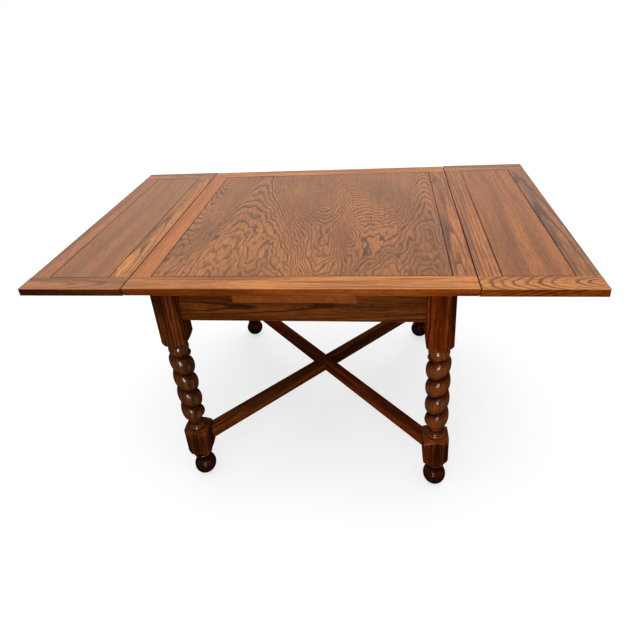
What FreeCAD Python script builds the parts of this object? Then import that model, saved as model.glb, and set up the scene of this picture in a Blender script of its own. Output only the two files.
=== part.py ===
"""Draw-leaf table: loose framed top, two sliding leaves and a frame on twisted legs.

Millimetres. The floor is z = 0, x runs along the table and y runs from front to back.
"""
import FreeCAD
import Part
import Sketcher
import math
import os

SIZES = [
    ("table_height", 760.0, "floor to the upper face of the top"),
    ("top_length", 915.0, "loose top, along x"),
    ("top_depth", 898.0, "loose top, along y"),
    ("top_thick", 21.0, "loose top"),
    ("top_rail_width", 61.0, "front and back members of the loose top"),
    ("clamp_width", 57.0, "end members of the loose top"),
    ("nose", 6.5, "square height left above the undercut at each end of the top"),
    ("undercut", 7.0, "depth of the undercut that lets a leaf in below the top"),
    ("leaf_length", 291.0, "one leaf, along x"),
    ("leaf_proud", 3.0, "leaf past the top at front and back"),
    ("leaf_thick", 20.0, "one leaf"),
    ("lip", 5.0, "inner edge of a leaf that slopes in below the top's nose"),
    ("leaf_rail_width", 61.0, "front and back members of a leaf"),
    ("stile_width", 58.0, "inner and outer members of a leaf"),
    ("seam_gap", 3.0, "gap between the top and a drawn leaf"),
    ("leaf_play", 0.75, "gap between the top and a leaf that is home"),
    ("tongue_reach", 7.0, "panel tongue inside its groove"),
    ("tongue_thick", 7.0, "panel tongue"),
    ("tongue_lift", 6.0, "underside of a panel up to its tongue"),
    ("line_gap", 0.8, "open line around a panel on the upper face"),
    ("stub_length", 18.0, "stub tenon of a clamp or stile"),
    ("stub_inset", 12.0, "stub tenon in from the edges of its member"),
    ("board_length", 321.0, "fixed centre board, along x"),
    ("board_thick", 21.0, "fixed centre board"),
    ("leg_square", 76.0, "leg blocks"),
    ("end_overhang", 44.5, "loose top past the legs at the ends"),
    ("side_overhang", 36.0, "loose top past the legs at front and back"),
    ("leg_cant", 17.0, "canted outer corner of the leg blocks"),
    ("dome_radius", 100.0, "turned shoulders of the leg blocks"),
    ("upper_low", 541.0, "middle of an upper block face's lower edge"),
    ("lower_low", 106.0, "middle of a lower block face's lower edge"),
    ("lower_high", 197.0, "middle of a lower block face's upper edge"),
    ("foot_radius", 34.5, "ball foot"),
    ("foot_centre", 31.0, "centre height of the ball foot"),
    ("ankle_radius", 25.0, "turning between ball foot and lower block"),
    ("ankle_bead", 5.0, "bead on the ankle"),
    ("ankle_bead_height", 85.0, "bead on the ankle above the floor"),
    ("shaft_radius", 20.0, "turned core of the shaft"),
    ("ring_radius", 7.0, "ring on the lower block"),
    ("ring_height", 207.0, "ring above the floor"),
    ("flare_radius", 25.0, "foot of the flared neck"),
    ("flare_length", 24.0, "flared neck"),
    ("bead_radius", 30.0, "ball below the upper block"),
    ("bead_height", 513.0, "centre of the ball above the floor"),
    ("twist_low", 243.0, "lower end of the twist"),
    ("twist_high", 496.0, "upper end of the twist"),
    ("twist_pitch", 64.5, "one turn of the twist"),
    ("twist_core", 21.0, "radius at the middle of the bine's section"),
    ("twist_swell", 14.0, "rise of the bine"),
    ("twist_end", 22.0, "radius where the bine dies away"),
    ("twist_taper", 15.0, "length over which the bine dies away"),
    ("twist_turn", 46.7, "turn of the bine about the leg axis, degrees"),
    ("rail_height", 103.0, "rails below the top"),
    ("rail_thick", 22.0, "rails below the top"),
    ("rail_recess", 27.0, "rail face in from the leg face"),
    ("tenon_thick", 10.0, "rail and stretcher tenons"),
    ("tenon_length", 26.0, "rail tenons"),
    ("tenon_shoulder", 12.0, "rail tenon in from the rail's edges"),
    ("cross_width", 45.0, "cross rail below the centre board"),
    ("cross_height", 47.0, "cross rail below the centre board"),
    ("cross_stub", 10.0, "cross rail tenon"),
    ("cross_shoulder", 8.0, "cross rail tenon in from the rail's faces"),
    ("stretcher_thick", 24.0, "diagonal stretchers"),
    ("stretcher_height", 50.0, "diagonal stretchers"),
    ("stretcher_low", 122.0, "underside of the stretchers above the floor"),
    ("stretcher_tenon", 20.0, "stretcher tenon inside the leg"),
    ("stretcher_seat", 41.0, "flat seat on a leg's inner corner, from the leg axis"),
    ("stretcher_shoulder", 10.0, "stretcher tenon in from the bar's edges"),
    ("bearer_width", 28.0, "sloped bearers below the leaves"),
    ("bearer_deep", 40.0, "sloped bearers"),
    ("right_bearer_y", 250.0, "bearers of the right leaf from the middle"),
    ("left_bearer_y", 214.0, "bearers of the left leaf from the middle"),
    ("bearer_tail", 55.0, "bearer past the middle when the leaf is drawn"),
    ("bearer_short", 13.0, "bearer end in from the leaf's outer edge"),
    ("bearer_step", 1.5, "rise of the bearer behind the leaf's inner edge"),
    ("bearer_play", 0.5, "gap between bearers and the top"),
    ("notch_side_play", 0.5, "side gap of a bearer in its notch"),
    ("notch_floor_play", 0.25, "gap below a bearer in its notch"),
    ("cross_play", 0.4, "gap between bearers and the cross rail"),
    ("stop_length", 30.0, "stop block below a bearer's tail"),
    ("stop_deep", 18.0, "stop block"),
    ("stop_play", 1.0, "gap between a stop block and the cross rail"),
    ("peg_radius", 12.5, "guide pegs below the loose top"),
    ("peg_play", 0.5, "gap around a guide peg in the centre board"),
    ("peg_y", 120.0, "guide pegs from the middle"),
    ("peg_seat", 10.0, "guide peg inside the top panel"),
    ("peg_reach", 36.0, "guide peg below the top"),
    ("screw_radius", 2.25, "screw shank"),
    ("screw_head", 4.4, "screw head radius"),
    ("screw_head_deep", 3.5, "screw head"),
    ("screw_slot", 1.2, "driver slot"),
    ("screw_play", 0.2, "gap around a screw head"),
    ("board_screw_x", 110.0, "centre board screws from the middle"),
    ("board_screw_bite", 25.0, "centre board screws inside the rails"),
    ("leaf_screw_bite", 12.0, "bearer screws inside the leaf"),
    ("leaf_screw_seat", 10.0, "wood between a bearer screw's head and the leaf"),
]
VALUE = {alias: number for alias, number, note in SIZES}

doc = FreeCAD.newDocument("draw_leaf_table")
sheet = doc.addObject("Spreadsheet::Sheet", "Sizes")
for row, (alias, number, note) in enumerate(SIZES, start=1):
    sheet.set("A%d" % row, alias)
    sheet.set("B%d" % row, repr(number))
    sheet.set("C%d" % row, note)
    sheet.setAlias("B%d" % row, alias)
doc.recompute()


class Cells:
    """Gives the expression text of a named size."""

    def __getattr__(self, alias):
        if alias not in VALUE:
            raise AttributeError(alias)
        return "Sizes." + alias


d = Cells()
NODES = []
ACROSS_X = FreeCAD.Vector(1, 0, 0)
ACROSS_Y = FreeCAD.Vector(0, 1, 0)
UP = FreeCAD.Vector(0, 0, 1)


def bind(obj, path, formula):
    """Tie one property of an object to a formula of named sizes."""
    obj.setExpression(path, str(formula))


def place(obj, x=0, y=0, z=0):
    """Tie an object's position to formulas."""
    bind(obj, "Placement.Base.x", x)
    bind(obj, "Placement.Base.y", y)
    bind(obj, "Placement.Base.z", z)
    return obj


def turn(obj, angle):
    """Tie an object's turn about the vertical to a formula in degrees."""
    obj.Placement.Rotation = FreeCAD.Rotation(UP, 1)
    bind(obj, "Placement.Rotation.Angle", angle)
    return obj


def box(name, x, y, z):
    """Block between (low, high) formulas on each axis."""
    obj = doc.addObject("Part::Box", name)
    for prop, (low, high) in (("Length", x), ("Width", y), ("Height", z)):
        bind(obj, prop, "(%s) - (%s)" % (high, low))
    return place(obj, x[0], y[0], z[0])


def rod(name, x, y, z, radius):
    """Upright cylinder between (low, high) formulas in z."""
    obj = doc.addObject("Part::Cylinder", name)
    bind(obj, "Radius", radius)
    bind(obj, "Height", "(%s) - (%s)" % (z[1], z[0]))
    return place(obj, x, y, z[0])


def cone(name, z, low_radius, high_radius):
    """Upright cone on the leg axis between (low, high) formulas in z."""
    obj = doc.addObject("Part::Cone", name)
    bind(obj, "Radius1", low_radius)
    bind(obj, "Radius2", high_radius)
    bind(obj, "Height", "(%s) - (%s)" % (z[1], z[0]))
    return place(obj, 0, 0, z[0])


def ring(name, z, spread, radius):
    """Bead around the leg axis."""
    obj = doc.addObject("Part::Torus", name)
    bind(obj, "Radius1", spread)
    bind(obj, "Radius2", radius)
    return place(obj, 0, 0, z)


def outline(name, corners):
    """Closed sketch through corner formulas, every corner held by two sizes."""
    sketch = doc.addObject("Sketcher::SketchObject", name)
    count = len(corners)
    spots = []
    for index in range(count):
        angle = 2 * math.pi * index / count
        spots.append(FreeCAD.Vector(100 * math.cos(angle), 100 * math.sin(angle), 0))
    for index in range(count):
        sketch.addGeometry(Part.LineSegment(spots[index], spots[(index + 1) % count]))
    for index in range(count):
        sketch.addConstraint(Sketcher.Constraint("Coincident", index, 2, (index + 1) % count, 1))
    for index, (across, along) in enumerate(corners):
        for kind, formula, tag in (("DistanceX", across, "u"), ("DistanceY", along, "v")):
            start = spots[index].x if tag == "u" else spots[index].y
            held = sketch.addConstraint(Sketcher.Constraint(kind, -1, 1, index, 1, start))
            sketch.renameConstraint(held, "%s%d" % (tag, index))
            bind(sketch, "Constraints.%s%d" % (tag, index), formula)
    return sketch


def side_prism(name, corners, y):
    """Solid with an outline in x and z, between (low, high) formulas in y."""
    sketch = outline(name + "_outline", corners)
    sketch.Placement.Rotation = FreeCAD.Rotation(FreeCAD.Vector(1, 0, 0), 90)
    bind(sketch, "Placement.Base.y", y[0])
    return extrude(name, sketch, FreeCAD.Vector(0, 1, 0), "(%s) - (%s)" % (y[1], y[0]))


def extrude(name, sketch, way, length):
    """Solid from a closed sketch."""
    obj = doc.addObject("Part::Extrusion", name)
    obj.Base = sketch
    obj.DirMode = "Custom"
    obj.Dir = way
    obj.Solid = True
    bind(obj, "LengthFwd", length)
    return obj


def fuse(name, pieces):
    """One solid from several."""
    obj = doc.addObject("Part::MultiFuse", name)
    obj.Shapes = pieces
    return obj


def cut(name, base, tools):
    """A solid less one or more others."""
    tool = tools[0]
    if len(tools) > 1:
        tool = doc.addObject("Part::Compound", name + "_cuts")
        tool.Links = tools
    obj = doc.addObject("Part::Cut", name)
    obj.Base = base
    obj.Tool = tool
    return obj


def common(name, base, tool):
    """What two solids share."""
    obj = doc.addObject("Part::Common", name)
    obj.Base = base
    obj.Tool = tool
    return obj


def mirror(name, source, normal):
    """Reflection of a solid in a plane through the middle of the table."""
    obj = doc.addObject("Part::Mirroring", name)
    obj.Source = source
    obj.Normal = normal
    return obj


def node(obj, label):
    """Name a finished sub-part."""
    obj.Label = label
    NODES.append(obj)
    return obj


# Heights that several pieces share
TOP_UNDER = "(%s - %s)" % (d.table_height, d.top_thick)
FRAME_TOP = "(%s - %s)" % (TOP_UNDER, d.board_thick)
LEAF_UNDER = "(%s - %s)" % (d.table_height, d.leaf_thick)
RAIL_LOW = "(%s - %s)" % (FRAME_TOP, d.rail_height)
HALF_TOP = "(%s / 2)" % d.top_length
LEAF_IN = "(%s + %s)" % (HALF_TOP, d.seam_gap)
LEAF_OUT = "(%s + %s)" % (LEAF_IN, d.leaf_length)
SLOPE = "((%s + %s) / (%s + %s))" % (d.top_thick, d.leaf_play, d.leaf_length, d.seam_gap)


def bearer_top(x):
    """Height of the bearers' sloped upper line at x for the right leaf."""
    return "(%s - %s + %s * ((%s) - %s))" % (TOP_UNDER, d.bearer_play, SLOPE, x, HALF_TOP)


def bearer_low(x):
    """Height of the bearers' sloped lower line at x for the right leaf."""
    return "(%s - %s)" % (bearer_top(x), d.bearer_deep)


# Legs: square stock with canted corners, turned shoulders, twist and ball foot
LEG_HALF = "(%s / 2)" % d.leg_square
LEG_X = "(%s / 2 - %s - %s)" % (d.top_length, d.end_overhang, LEG_HALF)
LEG_Y = "(%s / 2 - %s - %s)" % (d.top_depth, d.side_overhang, LEG_HALF)
DIAGONAL = "sqrt(%s ^ 2 + %s ^ 2)" % (LEG_X, LEG_Y)
DIAGONAL_TURN = "atan(%s / %s)" % (LEG_Y, LEG_X)
LEG_FLAT = "(%s - %s)" % (LEG_HALF, d.leg_cant)


DOME_RISE = "sqrt(%s ^ 2 - %s ^ 2)" % (d.dome_radius, LEG_HALF)


def canted_block(name, low, high):
    """Square block about the leg axis, canted at the table's outer corner."""
    sketch = outline(name + "_outline", [
        (LEG_HALF, LEG_HALF),
        ("-" + LEG_HALF, LEG_HALF),
        ("-" + LEG_HALF, "-" + LEG_HALF),
        (LEG_FLAT, "-" + LEG_HALF),
        (LEG_HALF, "-" + LEG_FLAT),
    ])
    bind(sketch, "Placement.Base.z", low)
    return extrude(name, sketch, UP, "(%s) - (%s)" % (high, low))


def dome(name, height):
    """Sphere that rounds a block's shoulder."""
    obj = doc.addObject("Part::Sphere", name)
    bind(obj, "Radius", d.dome_radius)
    return place(obj, 0, 0, height)


def bine_section():
    """Level section of the twist: one swelling round the axis with a sharp hollow."""
    spots = []
    count = 32
    for index in range(count):
        angle = -math.pi + 2 * math.pi * index / count
        swell = math.sqrt(1 - (0.97 * angle / math.pi) ** 2)
        radius = VALUE["twist_core"] + VALUE["twist_swell"] * swell
        spots.append(FreeCAD.Vector(radius * math.cos(angle), radius * math.sin(angle), 0))
    spots.append(spots[0])
    quarter = count // 4
    edges = []
    for start in range(0, count, quarter):
        curve = Part.BSplineCurve()
        curve.interpolate(spots[start:start + quarter + 1])
        edges.append(curve.toShape())
    return Part.Wire(edges)


def twist():
    """Right-handed single bine, dying away at both ends."""
    low = "(%s - %s)" % (d.twist_low, d.twist_taper)
    high = "(%s + %s)" % (d.twist_high, d.twist_taper)
    path = doc.addObject("Part::Helix", "bine_path")
    bind(path, "Pitch", d.twist_pitch)
    bind(path, "Height", "%s - %s" % (high, low))
    bind(path, "Radius", "%s / 2" % d.twist_swell)
    section = doc.addObject("Part::Feature", "bine_section")
    section.Shape = bine_section()
    bine = doc.addObject("Part::Sweep", "bine")
    bine.Sections = [section]
    bine.Spine = (path, [])
    bine.Solid = True
    bine.Frenet = True
    bind(bine, "Placement.Base.z", low)
    bine.Placement.Rotation = FreeCAD.Rotation(UP, VALUE["twist_turn"])
    wide = "(%s + %s + 5)" % (d.twist_core, d.twist_swell)
    low_end = "(%s + %s)" % (d.twist_low, d.twist_taper)
    high_end = "(%s - %s)" % (d.twist_high, d.twist_taper)
    limit = fuse("twist_limit", [
        rod("twist_middle", 0, 0, (low_end, high_end), wide),
        cone("twist_low_end", (d.twist_low, low_end), d.twist_end, wide),
        cone("twist_high_end", (high_end, d.twist_high), wide, d.twist_end),
    ])
    return common("leg_twist", bine, limit)


def turned_leg():
    """Leg on its own axis, before any joints are cut."""
    upper_centre = "(%s + %s)" % (d.upper_low, DOME_RISE)
    upper_start = "(%s - %s)" % (upper_centre, d.dome_radius)
    upper_limit = fuse("upper_limit", [
        dome("upper_shoulder", upper_centre),
        rod("upper_round", 0, 0, (upper_centre, FRAME_TOP), d.dome_radius),
    ])
    upper = common("upper_block", canted_block("upper_stock", upper_start, FRAME_TOP), upper_limit)
    lower_start = "(%s + %s - %s)" % (d.lower_low, DOME_RISE, d.dome_radius)
    lower_end = "(%s - %s + %s)" % (d.lower_high, DOME_RISE, d.dome_radius)
    lower_limit = common(
        "lower_limit",
        dome("lower_shoulder", "%s + %s" % (d.lower_low, DOME_RISE)),
        dome("high_shoulder", "%s - %s" % (d.lower_high, DOME_RISE)),
    )
    lower = common("lower_block", canted_block("lower_stock", lower_start, lower_end), lower_limit)
    lower_middle = "(%s + %s) / 2" % (d.lower_low, d.lower_high)
    foot = doc.addObject("Part::Sphere", "ball_foot")
    bind(foot, "Radius", d.foot_radius)
    bind(foot, "Angle1", "-asin(%s / %s)" % (d.foot_centre, d.foot_radius))
    place(foot, 0, 0, d.foot_centre)
    bead = doc.addObject("Part::Sphere", "shaft_bead")
    bind(bead, "Radius", d.bead_radius)
    place(bead, 0, 0, d.bead_height)
    flare_low = "(%s + %s / 2)" % (d.ring_height, d.ring_radius)
    flare_high = "(%s + %s)" % (flare_low, d.flare_length)
    return fuse("leg_stock", [
        upper,
        lower,
        foot,
        rod("ankle", 0, 0, (d.foot_centre, lower_middle), d.ankle_radius),
        ring("ankle_ring", d.ankle_bead_height, d.ankle_radius, d.ankle_bead),
        rod("shaft", 0, 0, (lower_middle, upper_centre), d.shaft_radius),
        ring("block_ring", d.ring_height, "%s + 1" % d.shaft_radius, d.ring_radius),
        cone("flared_neck", (flare_low, flare_high), d.flare_radius, d.shaft_radius + " + 0.5"),
        bead,
        twist(),
    ])


RAIL_MID = "(%s - %s - %s / 2)" % (LEG_HALF, d.rail_recess, d.rail_thick)
TENON_Z = ("%s + %s" % (RAIL_LOW, d.tenon_shoulder), "%s - %s" % (FRAME_TOP, d.tenon_shoulder))
HALF_TENON = "(%s / 2)" % d.tenon_thick
STRETCH_HIGH = "(%s + %s)" % (d.stretcher_low, d.stretcher_height)
STRETCH_TENON_Z = (
    "%s + %s" % (d.stretcher_low, d.stretcher_shoulder),
    "%s - %s" % (STRETCH_HIGH, d.stretcher_shoulder),
)


def corner_box(name, along, half_width, z):
    """Block on the leg's inner diagonal, between (low, high) distances from its axis."""
    obj = doc.addObject("Part::Box", name)
    bind(obj, "Length", "(%s) - (%s)" % (along[1], along[0]))
    bind(obj, "Width", "2 * (%s)" % half_width)
    bind(obj, "Height", "(%s) - (%s)" % (z[1], z[0]))
    turn(obj, "180 deg - %s" % DIAGONAL_TURN)
    ahead = "(%s) / %s" % (LEG_X, DIAGONAL)
    aside = "(%s) / %s" % (LEG_Y, DIAGONAL)
    x = "(%s) * %s - (%s) * %s" % (half_width, aside, along[0], ahead)
    y = "(%s) * %s + (%s) * %s" % (half_width, ahead, along[0], aside)
    return place(obj, x, y, z[0])


front_mortise = box(
    "front_mortise",
    ("-" + LEG_HALF, "-%s + %s" % (LEG_HALF, d.tenon_length)),
    ("-%s - %s" % (RAIL_MID, HALF_TENON), "-%s + %s" % (RAIL_MID, HALF_TENON)),
    TENON_Z,
)
end_mortise = box(
    "end_mortise",
    ("%s - %s" % (RAIL_MID, HALF_TENON), "%s + %s" % (RAIL_MID, HALF_TENON)),
    ("%s - %s" % (LEG_HALF, d.tenon_length), LEG_HALF),
    TENON_Z,
)
seat = corner_box(
    "stretcher_housing",
    (d.stretcher_seat, "%s + %s" % (d.stretcher_seat, d.leg_square)),
    d.leg_square,
    (d.stretcher_low, STRETCH_HIGH),
)
stretcher_mortise = corner_box(
    "stretcher_mortise",
    ("%s - %s" % (d.stretcher_seat, d.stretcher_tenon), "%s + 1" % d.stretcher_seat),
    HALF_TENON,
    STRETCH_TENON_Z,
)
leg = cut("leg_front_right", turned_leg(), [front_mortise, end_mortise, seat, stretcher_mortise])
place(leg, LEG_X, "-" + LEG_Y, 0)
node(leg, "leg_front_right")
leg_left = node(mirror("leg_front_left", leg, ACROSS_X), "leg_front_left")
node(mirror("leg_back_right", leg, ACROSS_Y), "leg_back_right")
node(mirror("leg_back_left", leg_left, ACROSS_Y), "leg_back_left")

# Rails tenoned into the legs
INNER_X = "(%s - %s)" % (LEG_X, LEG_HALF)
INNER_Y = "(%s - %s)" % (LEG_Y, LEG_HALF)
RAIL_OUT_X = "(%s + %s - %s)" % (LEG_X, LEG_HALF, d.rail_recess)
RAIL_OUT_Y = "(%s + %s - %s)" % (LEG_Y, LEG_HALF, d.rail_recess)
RAIL_IN_X = "(%s - %s)" % (RAIL_OUT_X, d.rail_thick)
RAIL_IN_Y = "(%s - %s)" % (RAIL_OUT_Y, d.rail_thick)
RAIL_AXIS_X = "(%s + %s)" % (LEG_X, RAIL_MID)
RAIL_AXIS_Y = "(%s + %s)" % (LEG_Y, RAIL_MID)
RAIL_Z = (RAIL_LOW, FRAME_TOP)
TENON_END_X = "(%s + %s)" % (INNER_X, d.tenon_length)
TENON_END_Y = "(%s + %s)" % (INNER_Y, d.tenon_length)
CROSS_TOP = "(%s - %s)" % (bearer_low("-%s / 2" % d.cross_width), d.cross_play)
CROSS_LOW = "(%s - %s)" % (CROSS_TOP, d.cross_height)
HALF_CROSS = "(%s / 2)" % d.cross_width
CROSS_STUB_X = "(%s - %s)" % (HALF_CROSS, d.cross_shoulder)
CROSS_STUB_Z = ("%s + %s" % (CROSS_LOW, d.cross_shoulder), "%s - %s" % (CROSS_TOP, d.cross_shoulder))
CROSS_END = "(%s + %s)" % (RAIL_IN_Y, d.cross_stub)
rail_y = ("-" + RAIL_OUT_Y, "-" + RAIL_IN_Y)
rail_tenon_y = ("-%s - %s" % (RAIL_AXIS_Y, HALF_TENON), "-%s + %s" % (RAIL_AXIS_Y, HALF_TENON))
screw_hole_z = ("%s - %s" % (FRAME_TOP, d.board_screw_bite), FRAME_TOP)
front_rail = cut(
    "front_rail",
    fuse("front_rail_stock", [
        box("front_rail_board", ("-" + INNER_X, INNER_X), rail_y, RAIL_Z),
        box("front_rail_tenons", ("-" + TENON_END_X, TENON_END_X), rail_tenon_y, TENON_Z),
    ]),
    [
        box("front_cross_mortise", ("-" + CROSS_STUB_X, CROSS_STUB_X),
            ("-" + CROSS_END, "-" + RAIL_IN_Y), CROSS_STUB_Z),
        rod("front_rail_hole_left", "-" + d.board_screw_x, "-" + RAIL_AXIS_Y, screw_hole_z, d.screw_radius),
        rod("front_rail_hole_right", d.board_screw_x, "-" + RAIL_AXIS_Y, screw_hole_z, d.screw_radius),
    ],
)
node(front_rail, "front_rail")
node(mirror("back_rail", front_rail, ACROSS_Y), "back_rail")


def end_rail(name, bearer_y):
    """Right-hand end rail with sloped notches for the bearers at +y and -y."""
    axis = ("%s - %s" % (RAIL_AXIS_X, HALF_TENON), "%s + %s" % (RAIL_AXIS_X, HALF_TENON))
    stock = fuse(name + "_stock", [
        box(name + "_board", (RAIL_IN_X, RAIL_OUT_X), ("-" + INNER_Y, INNER_Y), RAIL_Z),
        box(name + "_tenons", axis, ("-" + TENON_END_Y, TENON_END_Y), TENON_Z),
    ])
    low = "(%s - 5)" % RAIL_IN_X
    high = "(%s + 5)" % RAIL_OUT_X
    over = "%s + 5" % FRAME_TOP
    corners = [
        (low, "%s - %s" % (bearer_low(low), d.notch_floor_play)),
        (high, "%s - %s" % (bearer_low(high), d.notch_floor_play)),
        (high, over),
        (low, over),
    ]
    half = "(%s / 2 + %s)" % (d.bearer_width, d.notch_side_play)
    notches = []
    for side, sign in (("front", "-"), ("back", "")):
        middle = sign + bearer_y
        y = ("%s - %s" % (middle, half), "%s + %s" % (middle, half))
        notches.append(side_prism("%s_%s_notch" % (name, side), corners, y))
    return cut(name, stock, notches)


node(end_rail("right_end_rail", d.right_bearer_y), "right_end_rail")
left_source = end_rail("left_end_rail_source", d.left_bearer_y)
node(mirror("left_end_rail", left_source, ACROSS_X), "left_end_rail")
cross = fuse("centre_cross_rail", [
    box("cross_board", ("-" + HALF_CROSS, HALF_CROSS), ("-" + RAIL_IN_Y, RAIL_IN_Y), (CROSS_LOW, CROSS_TOP)),
    box("cross_stubs", ("-" + CROSS_STUB_X, CROSS_STUB_X), ("-" + CROSS_END, CROSS_END), CROSS_STUB_Z),
])
node(cross, "centre_cross_rail")

# Diagonal stretchers, halved where they cross
STRETCH_HALF = "(%s - %s)" % (DIAGONAL, d.stretcher_seat)
STRETCH_END = "(%s + %s)" % (STRETCH_HALF, d.stretcher_tenon)
HALF_STRETCH = "(%s / 2)" % d.stretcher_thick
STRETCH_MID = "(%s + %s / 2)" % (d.stretcher_low, d.stretcher_height)


def stretcher(name, halving_z, bar_turn, other_turn):
    """One diagonal bar with a tenon at each end, halved for the other bar."""
    stock = fuse(name + "_stock", [
        box(name + "_bar", ("-" + STRETCH_HALF, STRETCH_HALF), ("-" + HALF_STRETCH, HALF_STRETCH),
            (d.stretcher_low, STRETCH_HIGH)),
        box(name + "_tenons", ("-" + STRETCH_END, STRETCH_END), ("-" + HALF_TENON, HALF_TENON),
            STRETCH_TENON_Z),
    ])
    reach = "(2 * %s)" % d.stretcher_thick
    halving = turn(box(name + "_halving", (0, "2 * " + reach), (0, d.stretcher_thick), halving_z),
                   "%s - %s" % (other_turn, bar_turn))
    lean = "(%s - %s)" % (other_turn, bar_turn)
    place(
        halving,
        "%s * sin(%s) - %s * cos(%s)" % (HALF_STRETCH, lean, reach, lean),
        "-%s * cos(%s) - %s * sin(%s)" % (HALF_STRETCH, lean, reach, lean),
        halving_z[0],
    )
    bar = turn(cut(name, stock, [halving]), bar_turn)
    return node(bar, name)


RISING_TURN = DIAGONAL_TURN
FALLING_TURN = "(180 deg - %s)" % DIAGONAL_TURN
stretcher("stretcher_lower", (STRETCH_MID, STRETCH_HIGH), RISING_TURN, FALLING_TURN)
stretcher("stretcher_upper", (d.stretcher_low, STRETCH_MID), FALLING_TURN, RISING_TURN)

# Fixed centre board, screwed down to the long rails
HALF_BOARD = "(%s / 2)" % d.board_length
HALF_DEPTH = "(%s / 2)" % d.top_depth
HEAD_SEAT = "(%s - %s - %s)" % (TOP_UNDER, d.screw_head_deep, d.screw_play)
peg_hole = "%s + %s" % (d.peg_radius, d.peg_play)
board_cuts = []
for side, sign in (("front", "-"), ("back", "")):
    board_cuts.append(rod("board_peg_hole_" + side, 0, sign + d.peg_y, (FRAME_TOP, TOP_UNDER), peg_hole))
SCREW_SPOTS = (("front_left", "-", "-"), ("front_right", "", "-"), ("back_left", "-", ""), ("back_right", "", ""))
for spot, x_sign, y_sign in SCREW_SPOTS:
    x = x_sign + d.board_screw_x
    y = y_sign + RAIL_AXIS_Y
    board_cuts.append(fuse("board_screw_hole_" + spot, [
        rod("board_screw_shank_hole_" + spot, x, y, (FRAME_TOP, TOP_UNDER), d.screw_radius),
        rod("board_screw_head_hole_" + spot, x, y, (HEAD_SEAT, TOP_UNDER),
            "%s + %s" % (d.screw_head, d.screw_play)),
    ]))
board = cut(
    "centre_board",
    box("centre_board_stock", ("-" + HALF_BOARD, HALF_BOARD), ("-" + HALF_DEPTH, HALF_DEPTH), (FRAME_TOP, TOP_UNDER)),
    board_cuts,
)
node(board, "centre_board")


def screw(name, x, y, shank_z, head_z, slot_z):
    """Slotted wood screw standing upright."""
    stock = fuse(name + "_stock", [
        rod(name + "_shank", x, y, shank_z, d.screw_radius),
        rod(name + "_head", x, y, head_z, d.screw_head),
    ])
    slot = box(
        name + "_slot",
        ("%s - %s - 1" % (x, d.screw_head), "%s + %s + 1" % (x, d.screw_head)),
        ("%s - %s / 2" % (y, d.screw_slot), "%s + %s / 2" % (y, d.screw_slot)),
        slot_z,
    )
    return cut(name, stock, [slot])


for spot, x_sign, y_sign in SCREW_SPOTS:
    head_top = "(%s + %s)" % (HEAD_SEAT, d.screw_head_deep)
    piece = screw(
        "board_screw_" + spot, x_sign + d.board_screw_x, y_sign + RAIL_AXIS_Y,
        ("%s - %s" % (FRAME_TOP, d.board_screw_bite), HEAD_SEAT),
        (HEAD_SEAT, head_top), ("%s - %s" % (head_top, d.screw_slot), head_top),
    )
    node(piece, "board_screw_" + spot)

# Loose top: panel held by its tongue in a mitreless frame
CLAMP_IN = "(%s - %s)" % (HALF_TOP, d.clamp_width)
TOP_RAIL_IN = "(%s - %s)" % (HALF_DEPTH, d.top_rail_width)
NOSE_LOW = "(%s - %s)" % (d.table_height, d.nose)
UNDER_X = "(%s - %s)" % (HALF_TOP, d.undercut)


def tongue_z(under):
    """Height range of a panel's tongue above a member's underside."""
    low = "%s + %s" % (under, d.tongue_lift)
    return (low, "%s + %s" % (low, d.tongue_thick))


def panel_pieces(name, x, y, under):
    """Panel body, its tongue all round and the open line on the upper face."""
    gap = d.line_gap
    reach = d.tongue_reach
    layer = tongue_z(under)
    return [
        box(name + "_body", x, y, (under, layer[1])),
        box(name + "_tongue", ("%s - %s" % (x[0], reach), "%s + %s" % (x[1], reach)),
            ("%s - %s" % (y[0], reach), "%s + %s" % (y[1], reach)), layer),
        box(name + "_face", ("%s + %s" % (x[0], gap), "%s - %s" % (x[1], gap)),
            ("%s + %s" % (y[0], gap), "%s - %s" % (y[1], gap)), (under, d.table_height)),
    ]


def groove(name, x, y, under):
    """Room for a panel's tongue."""
    reach = d.tongue_reach
    return box(name, ("%s - %s" % (x[0], reach), "%s + %s" % (x[1], reach)),
               ("%s - %s" % (y[0], reach), "%s + %s" % (y[1], reach)), tongue_z(under))


def stub(name, x, y_limit, under):
    """Stub tenons past both ends of a clamp or stile."""
    inset = d.stub_inset
    reach = "(%s + %s)" % (y_limit, d.stub_length)
    return box(name, ("%s + %s" % (x[0], inset), "%s - %s" % (x[1], inset)), ("-" + reach, reach), tongue_z(under))


panel_x = ("-" + CLAMP_IN, CLAMP_IN)
panel_y = ("-" + TOP_RAIL_IN, TOP_RAIL_IN)
right_x = (CLAMP_IN, HALF_TOP)
left_x = ("-" + HALF_TOP, "-" + CLAMP_IN)
rail_profile = [
    ("-" + HALF_TOP, d.table_height),
    ("-" + HALF_TOP, NOSE_LOW),
    ("-" + UNDER_X, TOP_UNDER),
    (UNDER_X, TOP_UNDER),
    (HALF_TOP, NOSE_LOW),
    (HALF_TOP, d.table_height),
]
top_rail = cut(
    "top_front_rail",
    side_prism("top_front_rail_stock", rail_profile, ("-" + HALF_DEPTH, "-" + TOP_RAIL_IN)),
    [
        groove("top_rail_groove", panel_x, panel_y, TOP_UNDER),
        stub("top_rail_mortise_right", right_x, TOP_RAIL_IN, TOP_UNDER),
        stub("top_rail_mortise_left", left_x, TOP_RAIL_IN, TOP_UNDER),
    ],
)
node(top_rail, "top_front_rail")
node(mirror("top_back_rail", top_rail, ACROSS_Y), "top_back_rail")
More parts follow.
